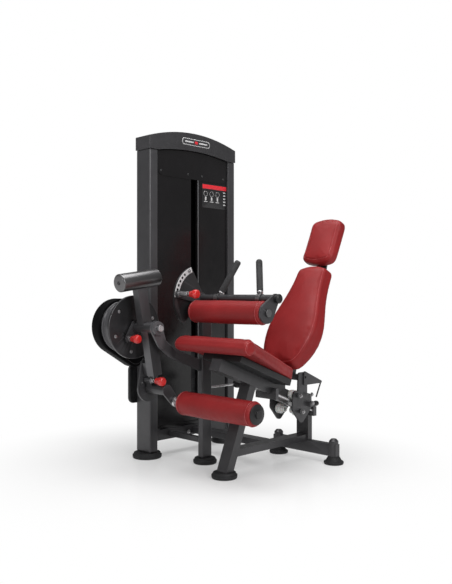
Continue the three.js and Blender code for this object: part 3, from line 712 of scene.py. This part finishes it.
def bake(obj):
    """Applies all modifiers to the object's own mesh."""
    shaped = obj.evaluated_get(bpy.context.evaluated_depsgraph_get())
    mesh = bpy.data.meshes.new_from_object(shaped)
    obj.modifiers.clear()
    obj.data = mesh


def bezier(a, b, c, d, steps=10):
    points = []
    for i in range(1, steps + 1):
        t = i / steps
        k = ((1 - t) ** 3, 3 * t * (1 - t) ** 2, 3 * t * t * (1 - t), t ** 3)
        points.append(tuple(sum(w * p[axis] for w, p in zip(k, (a, b, c, d))) for axis in (0, 1)))
    return points


def half_outline(*spans):
    """Half an outline from bottom to top, in millimetres. A span is a corner or a curve's last points."""
    points = [spans[0]]
    for span in spans[1:]:
        points += [span] if len(span) == 2 else bezier(points[-1], *span)
    return [(x * MM, y * MM) for x, y in points]


def mirrored(half):
    """Closes a right-hand half outline, drawn from bottom to top, with its mirror image."""
    return half + [(-x, y) for x, y in reversed(half) if x > 1e-6]


def seat_pad(look):
    """The seat: a sloping pad that narrows to the rear, with a round roll along its front edge."""
    low, high, mid = box_of("seat_cushion")
    half = (high.x - low.x) / 2 - look["shrink"]
    roll = ROLL_RADIUS - look["shrink"]
    top, under = 7.5 * MM - look["shrink"], -45 * MM
    length, rear, corner = 470 * MM, 110 * MM, 36 * MM
    pitch = Vector((0, math.cos(SEAT_PITCH), -math.sin(SEAT_PITCH)))
    place = matrix((mid.x, SEAT_EDGE_Y, SEAT_EDGE_Z), (1, 0, 0), pitch)
    start = (ROLL_Y - SEAT_EDGE_Y) / pitch.y
    side = [(0, start), (half - 3 * MM, start), (rear, length - corner)]
    side += bezier((rear, length - corner), (rear - 2 * MM, length - corner * 0.4),
                   (rear - corner * 0.4, length), (rear - corner, length))
    side += [(0, length)]
    centre = place.inverted() @ Vector((mid.x, ROLL_Y, ROLL_Z))
    soft = 11 * MM
    ends = [(-half, TIP), (-half, roll - soft), (-half + soft, roll), (half - soft, roll),
            (half, roll - soft), (half, TIP)]
    core = prism("seat_core", mirrored(side), top - under, Matrix.Translation((0, 0, under)), 9 * MM, 3)
    bm = bmesh.new()
    bm.from_mesh(core)
    bm.from_mesh(lathe("seat_roll", rounded(ends, soft, 5), centre, (1, 0, 0), 48))
    obj = soften("seat_pad", bm, under + 6 * MM, look)
    for v in obj.data.vertices:
        if v.co.z > under + 8 * MM:
            away = 1 - min(1, abs(v.co.x) / half) ** 2
            ripple = noise.noise(v.co * 14) * look["ripple"]
            v.co.z += ripple + look["crown"] * away * max(0, min(1, (v.co.y - 0.05) / 0.1))

    surface = surface_of(obj)
    margin = 9 * MM   # from the pad's edge to its piping
    right = [(half - margin, start + 4 * MM), (rear - margin, length - corner),
             (rear - corner, length - margin)]
    corners = right + [(-x, y) for x, y in reversed(right)]
    path = []
    for a, b in zip(corners, corners[1:]):
        parts = max(1, round(math.dist(a, b) / (6 * MM)))
        path += [(a[0] + (b[0] - a[0]) * i / parts, a[1] + (b[1] - a[1]) * i / parts) for i in range(parts)]
    hits = [drop(surface, p) for p in path]
    cord("seat_pad_piping_edge", [h for h in hits if h], place, "frame", look["cord"])
    for name, x in (("right", 8 * MM - half), ("left", half - 8 * MM)):
        base = Vector((x, centre.y, centre.z))
        ring = []
        for y, z in arc(0, 0, 1, 70, 290, 44):
            out = Vector((0, y, z))
            ring.append(surface.ray_cast(base + out * 0.15, -out)[0])
        cord(f"seat_pad_piping_{name}", [p for p in ring if p], place, "frame", look["cord"])
    hand_over(obj, "seat_cushion", "frame", place)


def leaning_pad(name, node, lean, thick, length, half, look):
    """A pad of the backrest. Its half outline starts at the foot; thick and length are in millimetres."""
    _, high, mid = box_of(node)
    up = Vector((0, math.sin(lean), math.cos(lean)))
    y = high.y - length * MM * up.y - thick * MM * up.z
    foot = Vector((mid.x, y, high.z - length * MM * up.z)) + up * PAD_RAISE
    pad(name, node, "carriage", mirrored(half), thick * MM, matrix(foot, (1, 0, 0), up), look)


def cushions():
    seat_pad(SEAT_LOOK)
    length = 516
    leaning_pad("backrest_pad", "backrest_cushion", BACK_LEAN, 66, length, half_outline(
        (0, -7),
        ((26, -7), (54, -5), (80, 0)),
        ((118, 22), (150, 126), (140, 212), 16),
        ((130, 284), (96, 350), (86, length - 40), 16),
        ((85, length - 12), (78, length - 1), (62, length + 1)),
        ((40, length + 9), (18, length + 12), (0, length + 12)),
    ), BACK_LOOK)
    low, high, _ = box_of("headrest_cushion")
    half = (high.x - low.x) / 2 / MM + 3
    length = 212
    leaning_pad("headrest_pad", "headrest_cushion", HEAD_LEAN, 50, length, half_outline(
        (0, -11),
        ((20, -11), (40, -9), (half - 28, -5)),
        ((half - 10, -4), (half, 8), (half, 26)),
        (half, length - 30),
        ((half, length - 12), (half - 12, length), (half - 30, length + 2)),
        ((34, length + 7), (16, length + 9), (0, length + 9)),
    ), HEAD_LOOK)


def roller_pad(name, node, body):
    """A foam roller with softly rounded ends, a sunk seam near each end and gathers in its cover."""
    low, high, centre = box_of(node)
    radius = (high.z - low.z) / 2
    length = high.x - low.x
    bore, soft = 12 * MM, 17 * MM
    steps, middle = 10, 24
    profile = [(0, bore), (0, radius - soft)]
    for i in range(1, steps + 1):
        a = math.pi / 2 * i / steps
        profile.append((soft * (1 - math.cos(a)), radius - soft * (1 - math.sin(a))))
    for i in range(1, middle):
        t = i / middle
        profile.append((soft + (length - 2 * soft) * t, radius + 1.4 * MM * math.sin(math.pi * t)))
    for i in range(steps + 1):
        a = math.pi / 2 * i / steps
        profile.append((length - soft * (1 - math.sin(a)), radius - soft * (1 - math.cos(a))))
    profile += [(length, bore), (0, bore)]
    start = Vector((low.x, centre.y, centre.z))
    mesh = lathe(name, profile, start, (1, 0, 0), 96)
    for v in mesh.vertices:
        out = Vector((0, v.co.y - start.y, v.co.z - start.z))
        if out.length > radius * 0.5:
            ripple = noise.noise(v.co * 17) * 0.9 * MM
            gather = 0.7 * MM * math.sin(26 * math.atan2(out.z, out.y))
            for inwards in (v.co.x - low.x, high.x - v.co.x):
                ripple += gather * math.exp(-(inwards / (20 * MM)) ** 2)
                ripple -= 1.6 * MM * math.exp(-((inwards - soft) / (2 * MM)) ** 2)
            v.co += out.normalized() * ripple
    stand_in(piece(name, mesh, body, LOOK["upholstery_red"]), node)
    for k, x in enumerate((low.x + soft, high.x - soft)):
        ring = [Vector((x, y, z)) for y, z in circle(start.y, start.z, radius + 0.2 * MM, 72)]
        loop(f"{name}_piping_{k}", ring, 1.3 * MM, body, PIPING_PAINTED_HIGHLIGHT, "upholstery_red")


def plunger_knob(node, body, parent, plate, grip):
    """A pull knob in a steel barrel on the parent's plate. Plate and grip are where each starts, along X."""
    low, high, centre = box_of(node)
    start = Vector((low.x, centre.y, centre.z))
    length = high.x - low.x
    neck = grip - low.x
    size = high.x - grip
    waist = ((0, 6), (0, 13), (0.16, 13.5), (0.5, 18.5), (0.72, 20.5), (0.92, 18.5), (1, 13))
    corners = [(neck + size * along, r * MM) for along, r in waist] + [(length + 0.6 * MM, TIP)]
    mesh = lathe(f"{node}_grip", rounded(corners, 5 * MM, 6), start, (1, 0, 0), 72)
    for v in mesh.vertices:
        out = Vector((0, v.co.y - start.y, v.co.z - start.z))
        if out.length > 14 * MM:
            v.co -= out.normalized() * 0.8 * MM * (0.5 + 0.5 * math.cos(10 * math.atan2(out.z, out.y)))
    stand_in(piece(f"{node}_grip", mesh, body, LOOK["knob_red"]), node)
    pin, tail = 5.8 * MM, neck + 6 * MM
    profile = rounded([(0, TIP), (0, pin), (tail, pin), (tail, TIP)], 1.5 * MM, 3)
    turned(f"{node}_pin", profile, start, (1, 0, 0), 32, body, BOLT_STEEL, "bright_steel")

    travel = -JOINTS[f"{node}_slide"]["range_m"][0]
    reach = grip - travel - 0.6 * MM - plate
    base = Vector((plate, start.y, start.z))
    bore, barrel, foot = 6.4 * MM, 11 * MM, 0.2 * MM
    sleeve = rounded([(foot, bore), (foot, barrel), (reach, barrel), (reach, bore)], 1 * MM, 3)
    sleeve.append(sleeve[0])
    turned(f"{node}_barrel", sleeve, base, (1, 0, 0), 48, parent, BOLT_STEEL, "bright_steel")
    under, deep, across = 0.1 * MM, min(7 * MM, reach - 1 * MM), 14.5 * MM
    nut = [(under, bore), (under, across), (deep, across), (deep, bore), (under, bore)]
    ring = lathe(f"{node}_nut", nut, base, (1, 0, 0), 6)
    ring.set_sharp_from_angle(angle=math.radians(30))
    piece(f"{node}_nut", ring, parent, BOLT_STEEL, "bright_steel")


def grip_sleeve(node, body):
    """A ringed foam grip on a leaning post, with a steel collar under it."""
    low, high, _ = box_of(node)
    left = node == "grip_left_sleeve"
    foam, collar = node.replace("sleeve", "foam"), node.replace("sleeve", "collar")
    radius, bore = 14.5 * MM, 8.4 * MM
    tilt = math.sin(math.radians(23))
    axis = Vector((-tilt if left else tilt, tilt, 1)).normalized()
    off_x, off_y, off_z = (radius * math.sqrt(max(0, 1 - a * a)) for a in axis)
    start = Vector((high.x - off_x if left else low.x + off_x, low.y + off_y, low.z + off_z))
    length = (high.z - off_z * 0.4 - start.z) / axis.z
    corners = [(0, bore), (0, radius), (length - 4 * MM, radius), (length + 3 * MM, radius * 0.72),
               (length + 4 * MM, TIP)]
    mesh = lathe(foam, [(0, bore)] + rounded(corners, 4 * MM, 6), start, axis, 48)
    rings = 11
    for v in mesh.vertices:
        along = (v.co - start).dot(axis)
        out = v.co - start - axis * along
        if out.length > radius * 0.9:
            v.co -= out.normalized() * 0.35 * MM * (0.5 + 0.5 * math.cos(TAU * rings * along / length))
    stand_in(piece(foam, mesh, body, LOOK["grip_rubber"]), node)
    bottom, top, inner, outer = -7 * MM, -0.6 * MM, 8.2 * MM, 14 * MM
    profile = rounded([(bottom, inner), (bottom, outer), (top, outer), (top, inner)], 1.5 * MM, 3)
    turned(collar, profile + [profile[0]], start, axis, 40, body, LOOK["bright_steel"])


FEET = [name for name, slot in SLOT_OF.items() if slot == "foot_rubber"]
WHEELS = [name for name, slot in SLOT_OF.items() if slot == "wheel_nylon"]


def feet():
    """Six round rubber feet; the two rear ones are flatter, with a raised middle."""
    for node in FEET:
        low, high, centre = box_of(node)
        r = (high.x - low.x) / 2
        h = high.z
        if node.startswith("rear"):
            upper = [(h * 0.14, r), (h * 0.36, r), (h * 0.5, r - 9 * MM), (h, 27 * MM)]
        else:
            upper = [(h * 0.22, r), (h * 0.62, r), (h * 0.66, r - 4 * MM), (h * 0.98, r - 7 * MM),
                     (h, r - 12 * MM)]
        profile = rounded([(0, TIP), (0, r - 3 * MM), *upper, (h, TIP)], 3 * MM, 5)
        foot = turned(f"{node}_pad", profile, (centre.x, centre.y, 0), (0, 0, 1), 72, "frame",
                      LOOK["foot_rubber"])
        stand_in(foot, node)


def carriage_wheels():
    """Nylon rollers. The upper ones reach inwards to the seat rail, the lower ones with a slim hub."""
    bore, dish = 7.8 * MM, 2 * MM
    for node in WHEELS:
        low, high, centre = box_of(node)
        r = (high.z - low.z) / 2
        w = high.x - low.x
        reach, hub = (7 * MM, r - 1 * MM) if node.startswith("upper") else (20 * MM, 15 * MM)
        corners = [(0, bore), (0, r * 0.5), (dish, r * 0.55), (dish, r * 0.84), (0, r * 0.88), (0, r),
                   (w * 0.36, r), (w * 0.5, r - 1.6 * MM), (w * 0.64, r), (w, r), (w + 0.5 * MM, hub),
                   (w + reach, hub), (w + reach, bore)]
        profile = rounded(corners, 1.4 * MM, 3)
        outer, inwards = (high.x, (-1, 0, 0)) if node.endswith("left") else (low.x, (1, 0, 0))
        tyre = turned(f"{node}_tyre", profile + [profile[0]], (outer, centre.y, centre.z), inwards, 56,
                      BODY_OF[node], LOOK["wheel_nylon"])
        stand_in(tyre, node)


def hex_bolt(name, body, at, axis, size=8 * MM, head=5.5 * MM):
    """A hexagon head on a washer, seated at a point and pointing out along the axis."""
    washer = 1.6 * MM
    axis, u, v = axes_for(axis)
    at = Vector(at)
    place = Matrix.Translation(at + axis * washer) @ Matrix((u, v, axis)).transposed().to_4x4()
    hexagon = circle(0, 0, size, 6, 0.3)
    cut(f"{name}_head", hexagon, head, place, 1.2 * MM, 3, body, BOLT_STEEL, "bright_steel")
    flat = rounded([(0, TIP), (0, size * 1.35), (washer, size * 1.35), (washer, TIP)], 0.5 * MM, 2)
    turned(f"{name}_washer", flat, at, axis, 36, body, BOLT_STEEL, "bright_steel")


def socket_screw(name, body, at, axis, radius, head):
    """A button head with a round recess, seated at a point."""
    dome = [(0, radius), (head * 0.35, radius), (head, radius * 0.62), (head, radius * 0.42),
            (head * 0.45, radius * 0.4), (head * 0.45, TIP)]
    profile = [(0, TIP)] + rounded(dome, 0.8 * MM, 3)
    turned(name, profile, at, axis, 30, body, DARK_BOLT, "bright_steel")


def hull_of_circles(circles, steps):
    """The outline of a belt drawn tight round some (x, y, radius) circles, anticlockwise."""
    points = sorted(p for x, y, r in circles for p in circle(x, y, r, steps))
    hull = []
    for order in (points, points[::-1]):
        chain = []
        for p in order:
            while len(chain) > 1 and (
                (chain[-1][0] - chain[-2][0]) * (p[1] - chain[-2][1])
                <= (chain[-1][1] - chain[-2][1]) * (p[0] - chain[-2][0])
            ):
                chain.pop()
            chain.append(p)
        hull += chain[:-1]
    return hull


def side_plane(x):
    """Places a flat outline of (Y, Z) points at x, growing towards +X."""
    return matrix((x, 0, 0), (0, 1, 0), (0, 0, 1))


def knee_axis():
    """Y and Z of the cam's pivot, from its joint."""
    return JOINTS["cam_turn"]["pos_m"][1:]


def belt_housing():
    """The long pill-shaped housing beside the knee, with a rim, and the cover below it."""
    low, high, _ = box_of("belt_housing")
    y, z = knee_axis()
    big, small, inner = 129 * MM, 61 * MM, 14 * MM
    foot_y, foot_z = -205 * MM, 505 * MM
    outline = hull_of_circles([(y, z, big), (foot_y, foot_z, small)], 96)
    depth = high.x - 2 * MM - low.x
    shell = cut("housing_shell", outline, depth, side_plane(low.x), 9 * MM, 5, "frame", HOUSING)
    stand_in(shell, "belt_housing")
    line = hull_of_circles([(y, z, big - inner), (foot_y, foot_z, small - inner)], 96)
    rim = [Vector((high.x - 3 * MM, py, pz)) for py, pz in resample(line, 6 * MM)]
    loop("housing_rim", rim, 2.2 * MM, "frame", LOOK["black_plastic"])

    low, high, mid = box_of("lower_pulley_cover")
    width, height = high.y - low.y + 8 * MM, high.z - low.z + 6 * MM
    outline = round_rect(width, height, 28 * MM, 8, mid.yz)
    cover = cut("pulley_cover", outline, high.x - low.x, side_plane(low.x), 7 * MM, 4, "frame",
                LOOK["black_plastic"])
    stand_in(cover, "lower_pulley_cover")


def counterweight():
    """A round steel weight with chamfered ends on the top of the swinging arm."""
    low, high, mid = box_of("counterweight")
    body = BODY_OF["counterweight"]
    radius, half, chamfer = (high.x - low.x) / 2, 108 * MM, 5 * MM
    rise = math.radians(8)
    axis = Vector((0, math.cos(rise), math.sin(rise)))
    profile = [(-half, TIP), (-half, radius - chamfer), (-half + chamfer, radius), (half - chamfer, radius),
               (half, radius - chamfer), (half, TIP)]
    grey = steel("weight_grey", 0.27, (0.28, 0.38))
    weight = turned("weight_cylinder", rounded(profile, 2 * MM, 3), mid, axis, 80, body, grey)
    stand_in(weight, "counterweight")
    socket_screw("weight_screw", body, mid - axis * (half + 0.2 * MM), -axis, 9 * MM, 4 * MM)


# ---------------------------------------------------------------- small fixings and labels
def fixings():
    """Bolts of the carriage plates, the tower's base and the end of the hole strip."""
    outer = box_of("carriage_plate_left")[1].x
    for side, x, out in (("", 195 * MM, -1), ("_far", outer, 1)):
        for k, (y, z) in enumerate(((270, 320), (288, 245), (356, 278), (349, 319))):
            at = (x, y * MM, z * MM)
            hex_bolt(f"carriage_bolt{side}_{k}", "carriage", at, (out, 0, 0), 7.5 * MM)
    for k, y in enumerate((105, 229)):
        hex_bolt(f"base_bolt_{k}", "frame", (-229 * MM, y * MM, 101 * MM), (1, 0, 0))
    y, z = JOINTS["thigh_bar_turn"]["pos_m"][1:]
    end, hole = math.radians(117), 138 * MM
    at = (15.4 * MM, y + hole * math.cos(end), z + hole * math.sin(end))
    hex_bolt("strip_bolt", "frame", at, (1, 0, 0), 6.5 * MM, 4 * MM)


def disc_face():
    """Bolts, a thin black sheet painted as the shade in a curved slot, and a raised rim on the outer face of
    the start-position disc.
    """
    face = box_of("start_position_disc")[1].x
    y, z = knee_axis()
    for k, at in enumerate(circle(y, z, 112 * MM, 6, 0.35)):
        hex_bolt(f"disc_bolt_{k}", "cam", (face, *at), (1, 0, 0), 6 * MM, 4 * MM)
    # Painted shade: the slot is not cut, and a thin near-black sheet on the disc face stands for the dark
    # opening.
    black = printed("slot_painted_shade", (0.004, 0.004, 0.004), 0.55)
    outline = arc(y, z, 88 * MM, 20, 110, 24) + arc(y, z, 72 * MM, 110, 20, 24)
    cut("disc_slot_painted_shade", outline, 0.8 * MM, side_plane(face), 0.2 * MM, 1, "cam", black, "black_plastic")
    rim = [Vector((face, *at)) for at in circle(y, z, 141.5 * MM, 120)]
    loop("disc_rim", rim, 1.6 * MM, "cam", LOOK["frame_paint"])


def cross_rod():
    """The thin bright rod beside the centre post that ends in a rounded black stop."""
    x, z, start, length, radius = 2 * MM, 350 * MM, 30 * MM, 170 * MM, 5 * MM
    rod = rounded([(0, TIP), (0, radius), (length, radius), (length, TIP)], 1 * MM, 2)
    turned("cross_rod", rod, (x, start, z), (0, 1, 0), 24, "frame", LOOK["bright_steel"])
    corners = [(0, 16), (18, 21), (40, 21), (48, 14)]
    stop = [(0, TIP)] + [(along * MM, r * MM) for along, r in corners] + [(48 * MM, TIP)]
    turned("cross_rod_stop", rounded(stop, 5 * MM, 5), (x, 196 * MM, z), (0, 1, 0), 40, "frame",
           LOOK["black_plastic"])
    hex_bolt("cross_rod_nut", "frame", (x, start, z), (0, -1, 0))


def trim_screws():
    """Four button heads along the lower edge of the panel above the slot."""
    low, high, _ = box_of("upper_trim_panel")
    inner = 22 * MM
    for k, y in enumerate((low.y + inner, 112 * MM, 206 * MM, high.y - inner)):
        socket_screw(f"trim_screw_{k}", "frame", (high.x, y, low.z + inner), (1, 0, 0), 5 * MM, 2.4 * MM)


def flat_strip(name, x, y0, y1, z0, z1, material, thick=0.3, radius=0.5, bevel=0.15, steps=6):
    """A thin printed plate, in millimetres, on a face that looks along +X."""
    centre = ((y0 + y1) / 2 * MM, (z0 + z1) / 2 * MM)
    outline = round_rect((y1 - y0) * MM, (z1 - z0) * MM, radius * MM, steps, centre)
    cut(name, outline, thick * MM, side_plane(x * MM), bevel * MM, 2, "frame", material, "shroud_gloss")


def placard():
    """A blank exercise placard: red header, grey figures made of plain blocks, no lettering."""
    x, y0, y1, z0, z1 = -242.6, 208, 386, 1228, 1352
    face = x + 0.8
    sheet = printed("placard_black", (0.012, 0.012, 0.013), 0.3)
    red = printed("placard_red", (0.56, 0.02, 0.03), 0.35)
    pale = printed("placard_grey", (0.45, 0.45, 0.45), 0.4)
    flat_strip("placard_sheet", x, y0, y1, z0, z1, sheet, 0.8, 6)
    flat_strip("placard_header", face, y0 + 4, y1 - 4, z1 - 26, z1 - 5, red)
    for k in range(3):
        y, z = y0 + 26 + 42 * k, z1 - 52
        ring = [Vector(((x + 1) * MM, *at)) for at in circle(y * MM, z * MM, 13 * MM, 24)]
        loop(f"placard_ring_{k}", ring, 0.8 * MM, "frame", pale, "shroud_gloss", 6)
        flat_strip(f"placard_body_{k}", face, y - 5, y + 5, z - 34, z - 16, pale)
        flat_strip(f"placard_leg_{k}", face, y - 12, y + 12, z - 42, z - 38, pale)
    for k in range(5):
        z = z1 - 40 - 16 * k
        flat_strip(f"placard_bar_{k}", face, y1 - 26, y1 - 10, z, z + 6, pale)


def cap_badge():
    """An unlettered pill-shaped badge on the front of the top cap."""
    x = box_of("top_cap")[1].x / MM
    y0, y1, z0, z1 = 64, 246, 1531, 1559
    edge, face = 2.5, x + 1.6
    red = printed("badge_red", (0.5, 0.02, 0.03), 0.3)
    rim = printed("badge_rim", (0.5, 0.5, 0.5), 0.25)
    dark = printed("badge_face", (0.03, 0.03, 0.032), 0.3)
    flat_strip("badge_rim", x, y0 - edge, y1 + edge, z0 - edge, z1 + edge, rim, 0.9, 13.5, 0.3, 8)
    flat_strip("badge_plate", x + 0.7, y0, y1, z0, z1, dark, 0.9, 13.5, 0.3, 8)
    flat_strip("badge_bar_0", face, y0 + 16, y0 + 72, z0 + 11, z1 - 11, rim, 0.4)
    flat_strip("badge_bar_1", face, y0 + 110, y0 + 166, z0 + 11, z1 - 11, rim, 0.4)
    flat_strip("badge_dot", face, y0 + 81, y0 + 101, z0 + 7, z1 - 7, red, 0.4, 4)


def slot_trim():
    """The narrow edging along the slot in the shroud."""
    grey = printed("trim_grey", (0.10, 0.10, 0.105))
    flat_strip("slot_trim", -242.8, 180, 184, 200, 1388, grey, 0.8)


def shroud_sills():
    """Narrow strips between the lower edge of each shroud and the tower's base bar."""
    height = 19 * MM
    for side, node in (("front", "slotted_shroud"), ("back", "back_shroud")):
        low, high, mid = box_of(node)
        middle = (mid.y, low.z - 0.5 * MM - height / 2)
        outline = round_rect(high.y - low.y, height, 1 * MM, 3, middle)
        cut(f"shroud_sill_{side}", outline, high.x - low.x, side_plane(low.x), 0.6 * MM, 2, "frame",
            LOOK["shroud_gloss"])


# ---------------------------------------------------------------- stage
WHITE = (1, 1, 1, 1)


def white_floor():
    """A white floor that shows shadows near the machine and fades to plain white further out."""
    bm = bmesh.new()
    bmesh.ops.create_grid(bm, x_segments=2, y_segments=2, size=14.0)
    floor = placed("floor", written("floor", bm))
    n = Nodes("floor_white")
    n.set(Base_Color=(0.86, 0.86, 0.86, 1), Roughness=0.14, Specular_IOR_Level=0.7)
    glow = n.add("ShaderNodeEmission")
    glow.inputs["Color"].default_value = WHITE
    glow.inputs["Strength"].default_value = 1.0
    mix = n.add("ShaderNodeMixShader")
    geometry = n.add("ShaderNodeNewGeometry")
    length = n.add("ShaderNodeVectorMath", operation="LENGTH")
    n.link(geometry.outputs["Position"], length.inputs[0])
    fade = n.add("ShaderNodeMapRange", interpolation_type="SMOOTHSTEP")
    for key, value in (("From Min", 0.3), ("From Max", 1.25), ("To Min", 0.3)):
        fade.inputs[key].default_value = value
    n.link(length.outputs["Value"], fade.inputs["Value"])
    n.link(fade.outputs[0], mix.inputs[0])
    n.link(n.shader.outputs[0], mix.inputs[1])
    n.link(glow.outputs[0], mix.inputs[2])
    n.link(mix.outputs[0], n.out.inputs[0])
    floor.data.materials.append(n.material)


def white_world():
    """A world that the camera sees as white but that gives only a little light."""
    world = bpy.data.worlds.new("studio")
    world.use_nodes = True
    tree = world.node_tree
    seen = tree.nodes["Background"]
    light = tree.nodes.new("ShaderNodeBackground")
    for node, strength in ((seen, 1.0), (light, 0.2)):
        node.inputs["Color"].default_value = WHITE
        node.inputs["Strength"].default_value = strength
    path = tree.nodes.new("ShaderNodeLightPath")
    either = tree.nodes.new("ShaderNodeMixShader")
    tree.links.new(path.outputs["Is Camera Ray"], either.inputs[0])
    tree.links.new(light.outputs[0], either.inputs[1])
    tree.links.new(seen.outputs[0], either.inputs[2])
    tree.links.new(either.outputs[0], tree.nodes["World Output"].inputs[0])
    bpy.context.scene.world = world


def area_light(name, at, target, size, power, height=None):
    light = bpy.data.lights.new(name, "AREA")
    light.shape = "RECTANGLE"
    light.size = size
    light.size_y = height or size
    light.energy = power
    obj = placed(name, light)
    obj.location = at
    obj.rotation_euler = (Vector(target) - Vector(at)).to_track_quat("-Z", "Y").to_euler()


def stage():
    white_floor()
    white_world()
    area_light("key", (3.4, -0.9, 2.3), (0, 0, 0.7), 1.4, 95, 2.0)
    area_light("front", (-0.6, -3.4, 1.9), (0, 0, 0.7), 1.4, 30, 1.8)
    area_light("top", (0.0, -0.1, 3.3), (0.05, 0.05, 0), 2.6, 105)
    camera = bpy.data.cameras.new("camera")
    camera.lens = 44.85
    camera.sensor_width = 36
    view = placed("camera", camera)
    view.location = (2.462, -2.332, 0.796)
    view.rotation_euler = (math.radians(90), 0, math.radians(44.9))
    bpy.context.scene.camera = view
    bpy.context.scene.view_settings.view_transform = "Standard"


# ---------------------------------------------------------------- build
cushions()
roller_pad("ankle_pad", "ankle_roller", "ankle_pad")
roller_pad("thigh_pad", "thigh_roller", "thigh_pad")
plunger_knob("start_plunger", "start_pin", "arm", plate=-136 * MM, grip=-118 * MM)
plunger_knob("ankle_plunger", "ankle_pin", "crank", plate=-70 * MM, grip=-38 * MM)
plunger_knob("thigh_plunger", "thigh_pin", "thigh", plate=30 * MM, grip=106 * MM)
grip_sleeve("grip_left_sleeve", BODY_OF["grip_left_sleeve"])
grip_sleeve("grip_right_sleeve", BODY_OF["grip_right_sleeve"])
feet()
carriage_wheels()
belt_housing()
counterweight()
fixings()
disc_face()
cross_rod()
trim_screws()
placard()
cap_badge()
slot_trim()
shroud_sills()
dress_cad_nodes()
stage()
